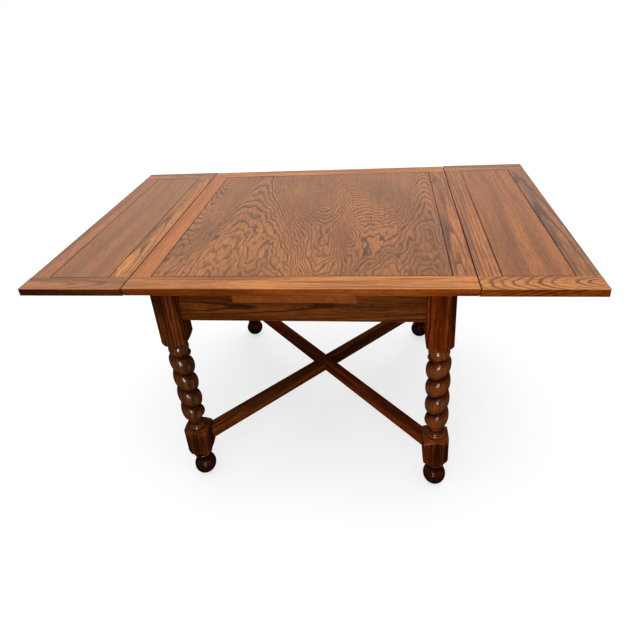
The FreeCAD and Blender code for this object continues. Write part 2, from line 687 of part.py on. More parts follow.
clamp_profile = [
    (CLAMP_IN, TOP_UNDER),
    (UNDER_X, TOP_UNDER),
    (HALF_TOP, NOSE_LOW),
    (HALF_TOP, d.table_height),
    (CLAMP_IN, d.table_height),
]
clamp = cut(
    "top_right_clamp",
    fuse("top_clamp_stock", [
        side_prism("top_clamp_board", clamp_profile, panel_y),
        stub("top_clamp_stubs", right_x, TOP_RAIL_IN, TOP_UNDER),
    ]),
    [groove("top_clamp_groove", panel_x, panel_y, TOP_UNDER)],
)
node(clamp, "top_right_clamp")
node(mirror("top_left_clamp", clamp, ACROSS_X), "top_left_clamp")
PEG_TOP = "(%s + %s)" % (TOP_UNDER, d.peg_seat)
top_panel = cut(
    "top_panel",
    fuse("top_panel_stock", panel_pieces("top_panel", panel_x, panel_y, TOP_UNDER)),
    [
        rod("panel_peg_seat_front", 0, "-" + d.peg_y, (TOP_UNDER, PEG_TOP), d.peg_radius),
        rod("panel_peg_seat_back", 0, d.peg_y, (TOP_UNDER, PEG_TOP), d.peg_radius),
    ],
)
node(top_panel, "top_panel")
for side, sign in (("front", "-"), ("back", "")):
    peg_z = ("%s - %s" % (TOP_UNDER, d.peg_reach), PEG_TOP)
    node(rod("guide_peg_" + side, 0, sign + d.peg_y, peg_z, d.peg_radius), "guide_peg_" + side)


def leaf(side, bearer_y):
    """All pieces of one leaf, drawn; the left one is built on the right and reflected."""
    mirrored = side == "left"
    tag = side + "_source" if mirrored else side

    def done(obj, label):
        node(mirror(label, obj, ACROSS_X) if mirrored else obj, label)

    half_depth = "(%s / 2 + %s)" % (d.top_depth, d.leaf_proud)
    rail_in = "(%s - %s)" % (half_depth, d.leaf_rail_width)
    stile_in = "(%s + %s)" % (LEAF_IN, d.stile_width)
    stile_out = "(%s - %s)" % (LEAF_OUT, d.stile_width)
    opening_x = (stile_in, stile_out)
    opening_y = ("-" + rail_in, rail_in)
    z = (LEAF_UNDER, d.table_height)
    inner_x = (LEAF_IN, stile_in)
    outer_x = (stile_out, LEAF_OUT)
    screw_x = {
        "inner": "(%s + %s / 2)" % (LEAF_IN, d.stile_width),
        "outer": "(%s - %s / 2)" % (LEAF_OUT, d.stile_width),
    }

    def lipped(outer_end):
        """Outline in x and z of a member whose inner edge slopes in below the top."""
        return [
            (LEAF_IN, d.table_height),
            (LEAF_IN, NOSE_LOW),
            ("%s - %s" % (LEAF_IN, d.lip), LEAF_UNDER),
            (outer_end, LEAF_UNDER),
            (outer_end, d.table_height),
        ]

    for end, y in (("front", ("-" + half_depth, "-" + rail_in)), ("back", (rail_in, half_depth))):
        name = "%s_leaf_%s_rail" % (tag, end)
        rail = cut(name, side_prism(name + "_stock", lipped(LEAF_OUT), y), [
            groove(name + "_groove", opening_x, opening_y, LEAF_UNDER),
            stub(name + "_inner_mortise", inner_x, rail_in, LEAF_UNDER),
            stub(name + "_outer_mortise", outer_x, rail_in, LEAF_UNDER),
        ])
        done(rail, "%s_leaf_%s_rail" % (side, end))
    bite = (LEAF_UNDER, "%s + %s" % (LEAF_UNDER, d.leaf_screw_bite))
    for place_name, x in (("inner", inner_x), ("outer", outer_x)):
        name = "%s_leaf_%s_stile" % (tag, place_name)
        cuts = [groove(name + "_groove", opening_x, opening_y, LEAF_UNDER)]
        for end, sign in (("front", "-"), ("back", "")):
            cuts.append(rod("%s_%s_hole" % (name, end), screw_x[place_name], sign + bearer_y, bite, d.screw_radius))
        board_name = name + "_board"
        if place_name == "inner":
            blank = side_prism(board_name, lipped(stile_in), opening_y)
        else:
            blank = box(board_name, x, opening_y, z)
        stock = fuse(name + "_stock", [
            blank,
            stub(name + "_stubs", x, rail_in, LEAF_UNDER),
        ])
        stile = cut(name, stock, cuts)
        done(stile, "%s_leaf_%s_stile" % (side, place_name))
    name = tag + "_leaf_panel"
    done(fuse(name, panel_pieces(name, opening_x, opening_y, LEAF_UNDER)), side + "_leaf_panel")

    tail = "-" + d.bearer_tail
    step = "(%s + %s)" % (LEAF_IN, d.bearer_step)
    end_x = "(%s - %s)" % (LEAF_OUT, d.bearer_short)
    bearer_profile = [
        (tail, bearer_low(tail)),
        (end_x, bearer_low(end_x)),
        (end_x, LEAF_UNDER),
        (step, LEAF_UNDER),
        (step, bearer_top(step)),
        (tail, bearer_top(tail)),
    ]
    stop_high = "(-%s - %s)" % (HALF_CROSS, d.stop_play)
    stop_low = "(%s - %s)" % (stop_high, d.stop_length)
    stop_profile = [
        (stop_low, "%s - %s" % (bearer_low(stop_low), d.stop_deep)),
        (stop_high, "%s - %s" % (bearer_low(stop_high), d.stop_deep)),
        (stop_high, bearer_low(stop_high)),
        (stop_low, bearer_low(stop_low)),
    ]
    seat_z = "(%s - %s)" % (LEAF_UNDER, d.leaf_screw_seat)
    for end, sign in (("front", "-"), ("back", "")):
        middle = sign + bearer_y
        y = ("%s - %s / 2" % (middle, d.bearer_width), "%s + %s / 2" % (middle, d.bearer_width))
        name = "%s_bearer_%s" % (tag, end)
        holes = []
        for place_name, x in screw_x.items():
            holes.append(rod("%s_%s_shank_hole" % (name, place_name), x, middle, (seat_z, LEAF_UNDER), d.screw_radius))
            holes.append(rod("%s_%s_head_hole" % (name, place_name), x, middle,
                             ("%s - %s" % (LEAF_UNDER, d.bearer_deep + " * 2"), seat_z),
                             "%s + %s" % (d.screw_head, d.screw_play)))
        done(cut(name, side_prism(name + "_stock", bearer_profile, y), holes), "%s_bearer_%s" % (side, end))
        done(side_prism("%s_stop_%s" % (tag, end), stop_profile, y), "%s_stop_%s" % (side, end))
        for place_name, x in screw_x.items():
            head_low = "(%s - %s)" % (seat_z, d.screw_head_deep)
            piece = screw("%s_bearer_screw_%s_%s" % (tag, end, place_name), x, middle, (seat_z, bite[1]),
                          (head_low, seat_z), (head_low, "%s + %s" % (head_low, d.screw_slot)))
            done(piece, "%s_bearer_screw_%s_%s" % (side, end, place_name))


leaf("right", d.right_bearer_y)
leaf("left", d.left_bearer_y)

doc.recompute()
faults = []
for obj in doc.Objects:
    if "Invalid" in obj.State or "Error" in obj.State:
        faults.append("%s %s" % (obj.Name, obj.State))
for obj in NODES:
    shape = obj.Shape
    if shape.isNull() or not shape.isValid() or len(shape.Solids) != 1:
        faults.append("%s shape" % obj.Label)
if faults:
    raise RuntimeError("unsound: " + ", ".join(faults))
os.makedirs("parts", exist_ok=True)
for obj in NODES:
    obj.Shape.exportStep("parts/%s.step" % obj.Label)
print("sub-parts written:", len(NODES))
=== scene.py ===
"""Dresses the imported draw-leaf table: eased boards, twisted legs, oak finishes, camera and studio.

The scene is in metres, and its shapes are drawn in millimetres. The floor is z = 0, x runs along the table
and y runs from front to back.
"""

import logging
import math
from dataclasses import dataclass, field, replace
from enum import Enum
from typing import Callable, ClassVar, Optional, Sequence, Union

import bmesh
import bpy
from mathutils import Matrix, Vector


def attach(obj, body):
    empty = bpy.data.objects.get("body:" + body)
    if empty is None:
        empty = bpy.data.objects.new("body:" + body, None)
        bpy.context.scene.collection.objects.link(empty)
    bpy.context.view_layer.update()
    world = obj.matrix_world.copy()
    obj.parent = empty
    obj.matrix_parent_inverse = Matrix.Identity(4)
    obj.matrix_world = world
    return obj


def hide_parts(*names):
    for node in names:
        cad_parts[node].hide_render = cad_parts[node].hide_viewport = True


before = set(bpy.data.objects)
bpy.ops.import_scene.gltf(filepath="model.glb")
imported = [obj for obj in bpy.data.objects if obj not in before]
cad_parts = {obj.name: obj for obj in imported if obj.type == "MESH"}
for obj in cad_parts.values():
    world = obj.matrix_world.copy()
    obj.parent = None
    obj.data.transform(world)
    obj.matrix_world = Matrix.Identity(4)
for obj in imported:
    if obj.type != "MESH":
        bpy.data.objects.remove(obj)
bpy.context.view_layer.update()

LOG = logging.getLogger("draw_leaf_table")
MM = 0.001
TURN = 2.0 * math.pi
INNER_CORNER = 1.25 * math.pi
SIDES = {"left": -1.0, "right": 1.0}
ENDS = {"front": -1.0, "back": 1.0}

# Names of the numbers painted on a piece's mesh.
ARRIS = "arris"
GRIME_AND_SHADE = "grime_and_shade"
SIDE = "side"
POLISH = "polish"

# Limits for choosing edges, faces and columns: radians, slopes and millimetres.
PAINTED = 0.5
SHARP = 0.3
LEVEL = 0.6
GRAZING = 0.05
NEAR = 0.5
CLOSE = 1e-4

Colour = tuple[float, float, float]
Point = tuple[float, float, float]
Flat = tuple[float, float]
Socket = bpy.types.NodeSocket
Value = Union[float, Socket]
Fed = dict[Union[str, int], object]

WHITE: Colour = (1.0, 1.0, 1.0)
WARM: Colour = (1.0, 0.52, 0.28)


class Plane(Enum):
    """Plane in which a prism's outline is drawn; the prism runs along the third axis."""

    XY = "XY"
    XZ = "XZ"

    def point(self, across: float, along: float, off: float) -> Point:
        """Point of the outline at a distance off the plane."""
        return (across, along, off) if self is Plane.XY else (across, off, along)

    def run(self, length: float) -> Vector:
        """Vector along the prism."""
        return Vector(self.point(0.0, 0.0, length))


class Grain(Enum):
    """How a board's own frame (x along the grain, z out of its face) is turned, in degrees."""

    ALONG_X = (0.0, 0.0, 0.0)
    ALONG_Y = (0.0, 0.0, 90.0)
    UPRIGHT = (0.0, -90.0, 0.0)
    FRONT_FACE = (90.0, 0.0, 0.0)
    BACK_FACE = (-90.0, 0.0, 0.0)
    END_FACE = (90.0, 0.0, 90.0)
    RISING = (90.0, 0.0, 45.0)
    FALLING = (90.0, 0.0, 135.0)

    def turn(self) -> Point:
        """Turn in radians."""
        return tuple(math.radians(angle) for angle in self.value)


class NodeBench:
    """Writes shader nodes into one tree."""

    def __init__(self, tree: bpy.types.NodeTree) -> None:
        """Keeps the tree to write into."""
        self.tree = tree

    def add(self, kind: str, **settings: object) -> bpy.types.Node:
        """Adds one node.

        Args:
            kind: Node type.
            settings: Properties set on the node.

        Returns:
            The new node.
        """
        node = self.tree.nodes.new(kind)
        for name, value in settings.items():
            setattr(node, name, value)
        return node

    def feed(self, socket: Socket, value: object) -> None:
        """Links a socket to another one, or sets a plain value on it.

        Args:
            socket: Input socket.
            value: Output socket, number, vector or colour.
        """
        if isinstance(value, bpy.types.NodeSocket):
            self.tree.links.new(value, socket)
        elif isinstance(value, tuple) and socket.type == "RGBA":
            socket.default_value = (*value, 1.0)
        else:
            socket.default_value = value

    def wired(self, kind: str, fed: Fed, **settings: object) -> bpy.types.NodeOutputs:
        """Adds one node and feeds its sockets.

        Args:
            kind: Node type.
            fed: Values or sockets by the input's name or number.
            settings: Properties set on the node.

        Returns:
            The node's outputs.
        """
        node = self.add(kind, **settings)
        for key, value in fed.items():
            self.feed(node.inputs[key], value)
        return node.outputs

    def math(self, operation: str, first: Value, second: Value = 0.0) -> Socket:
        """One Math node on two values."""
        return self.wired("ShaderNodeMath", {0: first, 1: second}, operation=operation)[0]

    def weighted(self, *terms: tuple[Value, Value]) -> Socket:
        """Sum of value times weight.

        Args:
            terms: Pairs of value and weight.

        Returns:
            The sum.
        """
        total: Value = 0.0
        for value, weight in terms:
            fed = {0: value, 1: weight, 2: total}
            total = self.wired("ShaderNodeMath", fed, operation="MULTIPLY_ADD")[0]
        return total

    def span(
        self, value: Value, low: float, high: float, to_low: float = 0.0, to_high: float = 1.0
    ) -> Socket:
        """Smooth step of a value from one range into another."""
        fed = {"Value": value, "From Min": low, "From Max": high, "To Min": to_low, "To Max": to_high}
        return self.wired("ShaderNodeMapRange", fed, interpolation_type="SMOOTHSTEP")["Result"]

    def stretch(self, vector: Socket, factors: Point, shift: Point = (0.0, 0.0, 0.0)) -> Socket:
        """Vector with each axis scaled and shifted."""
        fed = {0: vector, 1: factors, 2: shift}
        return self.wired("ShaderNodeVectorMath", fed, operation="MULTIPLY_ADD")[0]

    def noise(self, vector: Socket, detail: float = 2.0, roughness: float = 0.5) -> Socket:
        """Noise value with its middle at a half."""
        fed = {"Vector": vector, "Scale": 1.0, "Detail": detail, "Roughness": roughness}
        return self.wired("ShaderNodeTexNoise", fed, noise_dimensions="3D")["Fac"]

    def swing(self, vector: Socket, detail: float = 2.0) -> Socket:
        """Noise value with its middle at zero."""
        return self.math("SUBTRACT", self.noise(vector, detail), 0.5)

    def mix(self, factor: Value, first: object, second: object, mode: str = "MIX") -> Socket:
        """Colour mix."""
        fed = {0: factor, 6: first, 7: second}
        return self.wired("ShaderNodeMix", fed, data_type="RGBA", blend_type=mode)[2]

    def year_lines(self, years: Socket, spring: Flat, autumn: float, faintest: float) -> Socket:
        """Dark lines where one year ends and the next starts, some years fainter than others.

        Args:
            years: Count of years at the point.
            spring: Shares of a year between which its dark start fades.
            autumn: Share of a year at which its end begins to darken.
            faintest: Strength of the faintest year.

        Returns:
            One on the darkest lines and zero between them.
        """
        season = self.math("FRACT", years)
        start = self.span(season, *spring, 1.0, 0.0)
        lines = self.math("MAXIMUM", start, self.span(season, autumn, 1.0))
        whole = self.math("FLOOR", self.math("ADD", years, 0.1))
        chance = self.wired("ShaderNodeTexWhiteNoise", {"W": whole}, noise_dimensions="1D")["Value"]
        return self.math("MULTIPLY", lines, self.span(chance, 0.0, 1.0, faintest, 1.0))

    def axes(self, vector: Socket) -> tuple[Socket, Socket, Socket]:
        """The three parts of a vector."""
        return tuple(self.wired("ShaderNodeSeparateXYZ", {0: vector}))

    def vector(self, operation: str, first: Socket, second: object) -> bpy.types.NodeOutputs:
        """Outputs of one Vector Math node."""
        return self.wired("ShaderNodeVectorMath", {0: first, 1: second}, operation=operation)

    def attribute(self, name: str) -> Socket:
        """A piece's own number painted on its mesh, zero where it has none."""
        return self.add("ShaderNodeAttribute", attribute_name=name).outputs["Fac"]

    def place(self, effect: type["Effect"], **values: object) -> bpy.types.NodeOutputs:
        """Outputs of a shared effect with values by input name, in which _ stands for a space."""
        fed = {name.replace("_", " "): value for name, value in values.items()}
        return self.wired("ShaderNodeGroup", fed, node_tree=effect.tree())


class Effect:
    """Shader node group that is built once and placed in each material with its own values."""

    label: ClassVar[str] = ""
    inputs: ClassVar[dict[str, object]] = {}
    outputs: ClassVar[tuple[str, ...]] = ()

    @classmethod
    def tree(cls) -> bpy.types.NodeTree:
        """The effect's node group, built on first use.

        Returns:
            The group's tree.
        """
        known = bpy.data.node_groups.get(cls.label)
        if known:
            return known
        tree = bpy.data.node_groups.new(cls.label, "ShaderNodeTree")
        for name, default in cls.inputs.items():
            kind = "NodeSocketVector" if isinstance(default, tuple) else "NodeSocketFloat"
            socket = tree.interface.new_socket(name=name, in_out="INPUT", socket_type=kind)
            socket.default_value = default
        for name in cls.outputs:
            tree.interface.new_socket(name=name, in_out="OUTPUT", socket_type="NodeSocketFloat")
        bench = NodeBench(tree)
        given = bench.add("NodeGroupInput").outputs
        wanted = bench.add("NodeGroupOutput").inputs
        for name, socket in cls.wire(bench, given).items():
            tree.links.new(socket, wanted[name])
        return tree

    @classmethod
    def wire(cls, bench: NodeBench, given: bpy.types.NodeOutputs) -> dict[str, Socket]:
        """Writes the effect's nodes.

        Args:
            bench: Bench on the group's tree.
            given: The group's inputs.

        Returns:
            A socket for each output.
        """
        raise NotImplementedError


class GrowthRings(Effect):
    """Rings round a tree's heart that lies off the board, cut by the board's faces."""

    label = "growth_rings"
    inputs = {
        "Vector": (0.0, 0.0, 0.0),
        "Spacing": 0.003,
        "Heart Side": 0.0,
        "Heart Depth": -0.05,
        "Taper": 0.03,
        "Wander": 0.006,
    }
    outputs = ("Band", "Tone")

    @classmethod
    def wire(cls, bench: NodeBench, given: bpy.types.NodeOutputs) -> dict[str, Socket]:
        """Distance from the wandering heart, counted in years.

        Args:
            bench: Bench on the group's tree.
            given: The group's inputs.

        Returns:
            Band, dark at the start of each year, and Tone, the slow change along the board.
        """
        vector = given["Vector"]
        along, across, up = bench.axes(vector)
        sway = bench.swing(bench.stretch(vector, (2.2, 9.0, 9.0)), 2.0)
        ripple = bench.swing(bench.stretch(vector, (14.0, 70.0, 70.0), (3.1, 7.7, 1.9)), 3.0)
        side = bench.math("SUBTRACT", across, given["Heart Side"])
        side = bench.weighted((sway, given["Wander"]), (side, 1.0))
        depth = bench.math("SUBTRACT", up, given["Heart Depth"])
        depth = bench.weighted((along, given["Taper"]), (sway, given["Wander"]), (depth, 1.0))
        reach = bench.math("SQRT", bench.weighted((side, side), (depth, depth)))
        reach = bench.weighted((ripple, bench.math("MULTIPLY", given["Wander"], 0.34)), (reach, 1.0))
        years = bench.math("DIVIDE", reach, given["Spacing"])
        bold = bench.year_lines(years, spring=(0.02, 0.46), autumn=0.88, faintest=0.3)
        thin = bench.math("PINGPONG", bench.math("MULTIPLY", years, 3.7), 0.5)
        fine = bench.math("MULTIPLY", bench.span(thin, 0.2, 0.5), 0.34)
        slow = bench.noise(bench.stretch(vector, (1.4, 22.0, 22.0), (5.0, 2.0, 8.0)), 3.0)
        return {"Band": bench.math("MAXIMUM", bold, fine), "Tone": slow}


class Pores(Effect):
    """Short open pores drawn out along the grain, thicker where a year starts."""

    label = "open_pores"
    inputs = {"Vector": (0.0, 0.0, 0.0), "Band": 0.0}
    outputs = ("Pores", "Fibre", "Streak")

    @classmethod
    def wire(cls, bench: NodeBench, given: bpy.types.NodeOutputs) -> dict[str, Socket]:
        """Three sizes of stretched noise.

        Args:
            bench: Bench on the group's tree.
            given: The group's inputs.

        Returns:
            Pores, one in a pore, Fibre, the fine lines between them, and Streak, the broader ones.
        """
        vector = given["Vector"]
        coarse = bench.noise(bench.stretch(vector, (75.0, 1150.0, 1150.0)), 1.0)
        fine = bench.noise(bench.stretch(vector, (20.0, 210.0, 210.0), (9.0, 4.0, 2.0)), 4.0, 0.75)
        broad = bench.noise(bench.stretch(vector, (2.6, 62.0, 62.0), (2.0, 6.0, 1.0)), 5.0, 0.68)
        lifted = bench.weighted((given["Band"], 0.12), (coarse, 1.0))
        return {"Pores": bench.span(lifted, 0.6, 0.72), "Fibre": fine, "Streak": broad}


class Swell(Effect):
    """Smooth mound in the years that a cut runs through."""

    label = "swell"
    inputs = {
        "Vector": (0.0, 0.0, 0.0),
        "Place": (0.0, 0.0, 0.0),
        "Spread": (1.0, 1.0, 1.0),
        "Height": 1.0,
    }
    outputs = ("Years",)

    @classmethod
    def wire(cls, bench: NodeBench, given: bpy.types.NodeOutputs) -> dict[str, Socket]:
        """Bell curve of the distance from the mound's place, measured in its spreads.

        Args:
            bench: Bench on the group's tree.
            given: The group's inputs.

        Returns:
            Years, the mound's height at the point.
        """
        gap = bench.vector("SUBTRACT", given["Vector"], given["Place"])[0]
        far = bench.vector("DIVIDE", gap, given["Spread"])[0]
        square = bench.vector("DOT_PRODUCT", far, far)["Value"]
        bell = bench.math("EXPONENT", bench.math("MULTIPLY", square, -1.0))
        return {"Years": bench.math("MULTIPLY", bell, given["Height"])}


@dataclass(frozen=True)
class Crown:
    """One mound in a board's years, with its place and spread along and across the grain."""

    place: Flat
    spread: Flat
    years: float

    def mound(self, bench: NodeBench, vector: Socket) -> Socket:
        """Years that the mound adds at a point."""
        place, spread = (*self.place, 0.0), (*self.spread, 1.0)
        return bench.place(Swell, Vector=vector, Place=place, Spread=spread, Height=self.years)["Years"]


CROWNS = (
    Crown((0.55, 0.37), (0.85, 0.085), 17.0),
    Crown((0.62, 0.0), (0.62, 0.125), 36.0),
    Crown((-0.36, -0.07), (0.34, 0.085), 11.0),
    Crown((0.55, -0.225), (0.5, 0.095), 28.0),
    Crown((0.1, -0.45), (0.7, 0.05), 9.0),
    Crown((-0.16, -0.125), (0.1, 0.03), -8.0),
)


class CrownFigure(Effect):
    """Bold crown-cut figure of a veneer: nested arches, loops and fine waves along its length."""

    label = "crown_figure"
    inputs = {"Vector": (0.0, 0.0, 0.0), "Climb": 10.0}
    outputs = ("Band", "Tone")

    @classmethod
    def wire(cls, bench: NodeBench, given: bpy.types.NodeOutputs) -> dict[str, Socket]:
        """Level lines of the mounds, roughened more towards the near end; x runs along the veneer.

        Args:
            bench: Bench on the group's tree.
            given: The group's inputs.

        Returns:
            Band, the dark lines, and Tone, the slow change.
        """
        flat = bench.stretch(given["Vector"], (1.0, 1.0, 0.0))
        along, _, _ = bench.axes(flat)
        terms = [(along, given["Climb"])]
        terms += [(crown.mound(bench, flat), 1.0) for crown in CROWNS]
        near = bench.span(along, -0.25, 0.15, 1.0, 0.0)
        terms.append((bench.swing(bench.stretch(flat, (3.4, 8.0, 1.0), (7.1, 3.2, 0.6)), 0.0), 6.0))
        roll = bench.swing(bench.stretch(flat, (8.0, 20.0, 1.0), (2.2, 1.7, 3.3)), 0.0)
        terms.append((roll, bench.weighted((near, 2.6), (1.0, 1.2))))
        ripple = bench.swing(bench.stretch(flat, (24.0, 62.0, 1.0), (9.2, 5.1, 9.1)), 0.0)
        terms.append((ripple, bench.weighted((near, 0.9), (1.0, 0.5))))
        terms.append((bench.swing(bench.stretch(flat, (44.0, 130.0, 1.0), (1.0, 3.0, 5.0)), 1.0), 0.4))
        years = bench.weighted(*terms)
        lines = bench.year_lines(years, spring=(0.03, 0.42), autumn=0.86, faintest=0.62)
        tone = bench.noise(bench.stretch(flat, (3.0, 6.0, 1.0), (1.2, 6.6, 2.0)), 2.0)
        return {"Band": lines, "Tone": tone}


class HandlingAndShade(Effect):
    """Where hands, cloths and knocks have worn or dulled a surface, and where grime and painted shade darken
    it.
    """

    label = "handling_and_shade"
    inputs = {"Vector": (0.0, 0.0, 0.0), "Edge": 0.0, "Hollow": 0.0}
    outputs = ("Worn", "ShadeAndGrime", "Smear")

    @classmethod
    def wire(cls, bench: NodeBench, given: bpy.types.NodeOutputs) -> dict[str, Socket]:
        """Patchy masks from the painted edges, and from the painted grime and shade.

        Args:
            bench: Bench on the group's tree.
            given: The group's inputs.

        Returns:
            Worn on rubbed edges, a mask of grime and painted shade, and Smear over the polish.
        """
        vector = given["Vector"]
        patch = bench.noise(bench.stretch(vector, (38.0, 38.0, 38.0)), 3.0)
        cloth = bench.noise(bench.stretch(vector, (7.0, 7.0, 7.0), (3.0, 1.0, 4.0)), 4.0)
        worn = bench.math("MULTIPLY", given["Edge"], bench.span(patch, 0.36, 0.66))
        shade_and_grime = bench.math("MULTIPLY", given["Hollow"], bench.span(patch, 0.2, 0.55, 0.6, 1.0))
        return {"Worn": worn, "ShadeAndGrime": shade_and_grime, "Smear": bench.span(cloth, 0.3, 0.7)}


@dataclass(frozen=True)
class Palette:
    """Colours of one kind of wood."""

    light: Colour
    dark: Colour
    pore: Colour
    # Colour of worn wood, also laid on polished turning as painted light.
    worn: Colour


HONEY = Palette((0.79, 0.283, 0.048), (0.27, 0.078, 0.013), (0.15, 0.044, 0.011), (0.50, 0.16, 0.028))
ORANGE = Palette((0.63, 0.2, 0.032), (0.32, 0.086, 0.015), (0.15, 0.042, 0.01), (0.44, 0.125, 0.022))
CHEVRON = Palette((0.86, 0.288, 0.043), (0.06, 0.019, 0.006), (0.09, 0.03, 0.01), (0.46, 0.15, 0.026))
AMBER = Palette((0.6, 0.212, 0.048), (0.14, 0.046, 0.015), (0.10, 0.036, 0.013), (0.40, 0.13, 0.026))
FLAME = Palette((0.9, 0.33, 0.06), (0.11, 0.034, 0.012), (0.08, 0.028, 0.011), (0.40, 0.13, 0.026))
STRIPED = Palette((0.72, 0.232, 0.04), (0.115, 0.038, 0.014), (0.08, 0.028, 0.011), (0.40, 0.13, 0.026))
SMOKED = Palette((0.54, 0.185, 0.042), (0.085, 0.033, 0.015), (0.07, 0.026, 0.012), (0.34, 0.11, 0.024))
FIGURED = Palette((0.575, 0.2, 0.039), (0.1, 0.036, 0.013), (0.08, 0.03, 0.012), (0.34, 0.11, 0.024))
# The centre board's colours are darker, partly as painted shade for its front edge under the top.
SHADED_CHESTNUT = Palette((0.40, 0.09, 0.008), (0.19, 0.045, 0.007), (0.10, 0.027, 0.006), (0.30, 0.08, 0.012))
TAWNY = Palette((0.46, 0.172, 0.046), (0.19, 0.068, 0.021), (0.10, 0.036, 0.014), (0.33, 0.11, 0.026))
RUSSET = Palette((0.56, 0.177, 0.031), (0.18, 0.058, 0.015), (0.10, 0.034, 0.011), (0.33, 0.11, 0.024))
APRON = Palette((0.33, 0.086, 0.009), (0.05, 0.011, 0.002), (0.035, 0.009, 0.003), (0.25, 0.07, 0.012))
DARK = Palette((0.34, 0.083, 0.014), (0.022, 0.006, 0.002), (0.018, 0.005, 0.003), (0.12, 0.04, 0.011))
RUDDY = Palette((0.42, 0.068, 0.008), (0.03, 0.006, 0.002), (0.02, 0.005, 0.003), (0.36, 0.118, 0.026))
HIDDEN = Palette((0.42, 0.23, 0.10), (0.28, 0.14, 0.055), (0.15, 0.075, 0.032), (0.33, 0.175, 0.08))


@dataclass(frozen=True)
class Finish:
    """Finish of a piece, made into a material on first use."""

    name: str
    slot: str

    def material(self) -> bpy.types.Material:
        """The finish as a material.

        Returns:
            The one material of this finish's name.
        """
        made = bpy.data.materials.get(self.name)
        if made is None:
            made = bpy.data.materials.new(self.name)
            made.use_nodes = True
            bench = NodeBench(made.node_tree)
            spot = bench.add("ShaderNodeTexCoord").outputs["Object"]
            self.paint(bench, made.node_tree.nodes["Principled BSDF"].inputs, spot)
        return made

    def paint(self, bench: NodeBench, surface: bpy.types.NodeInputs, spot: Socket) -> None:
        """Feeds the surface.

        Args:
            bench: Bench on the material's tree.
            surface: Sockets of the surface.
            spot: Position on the table.
        """
        raise NotImplementedError


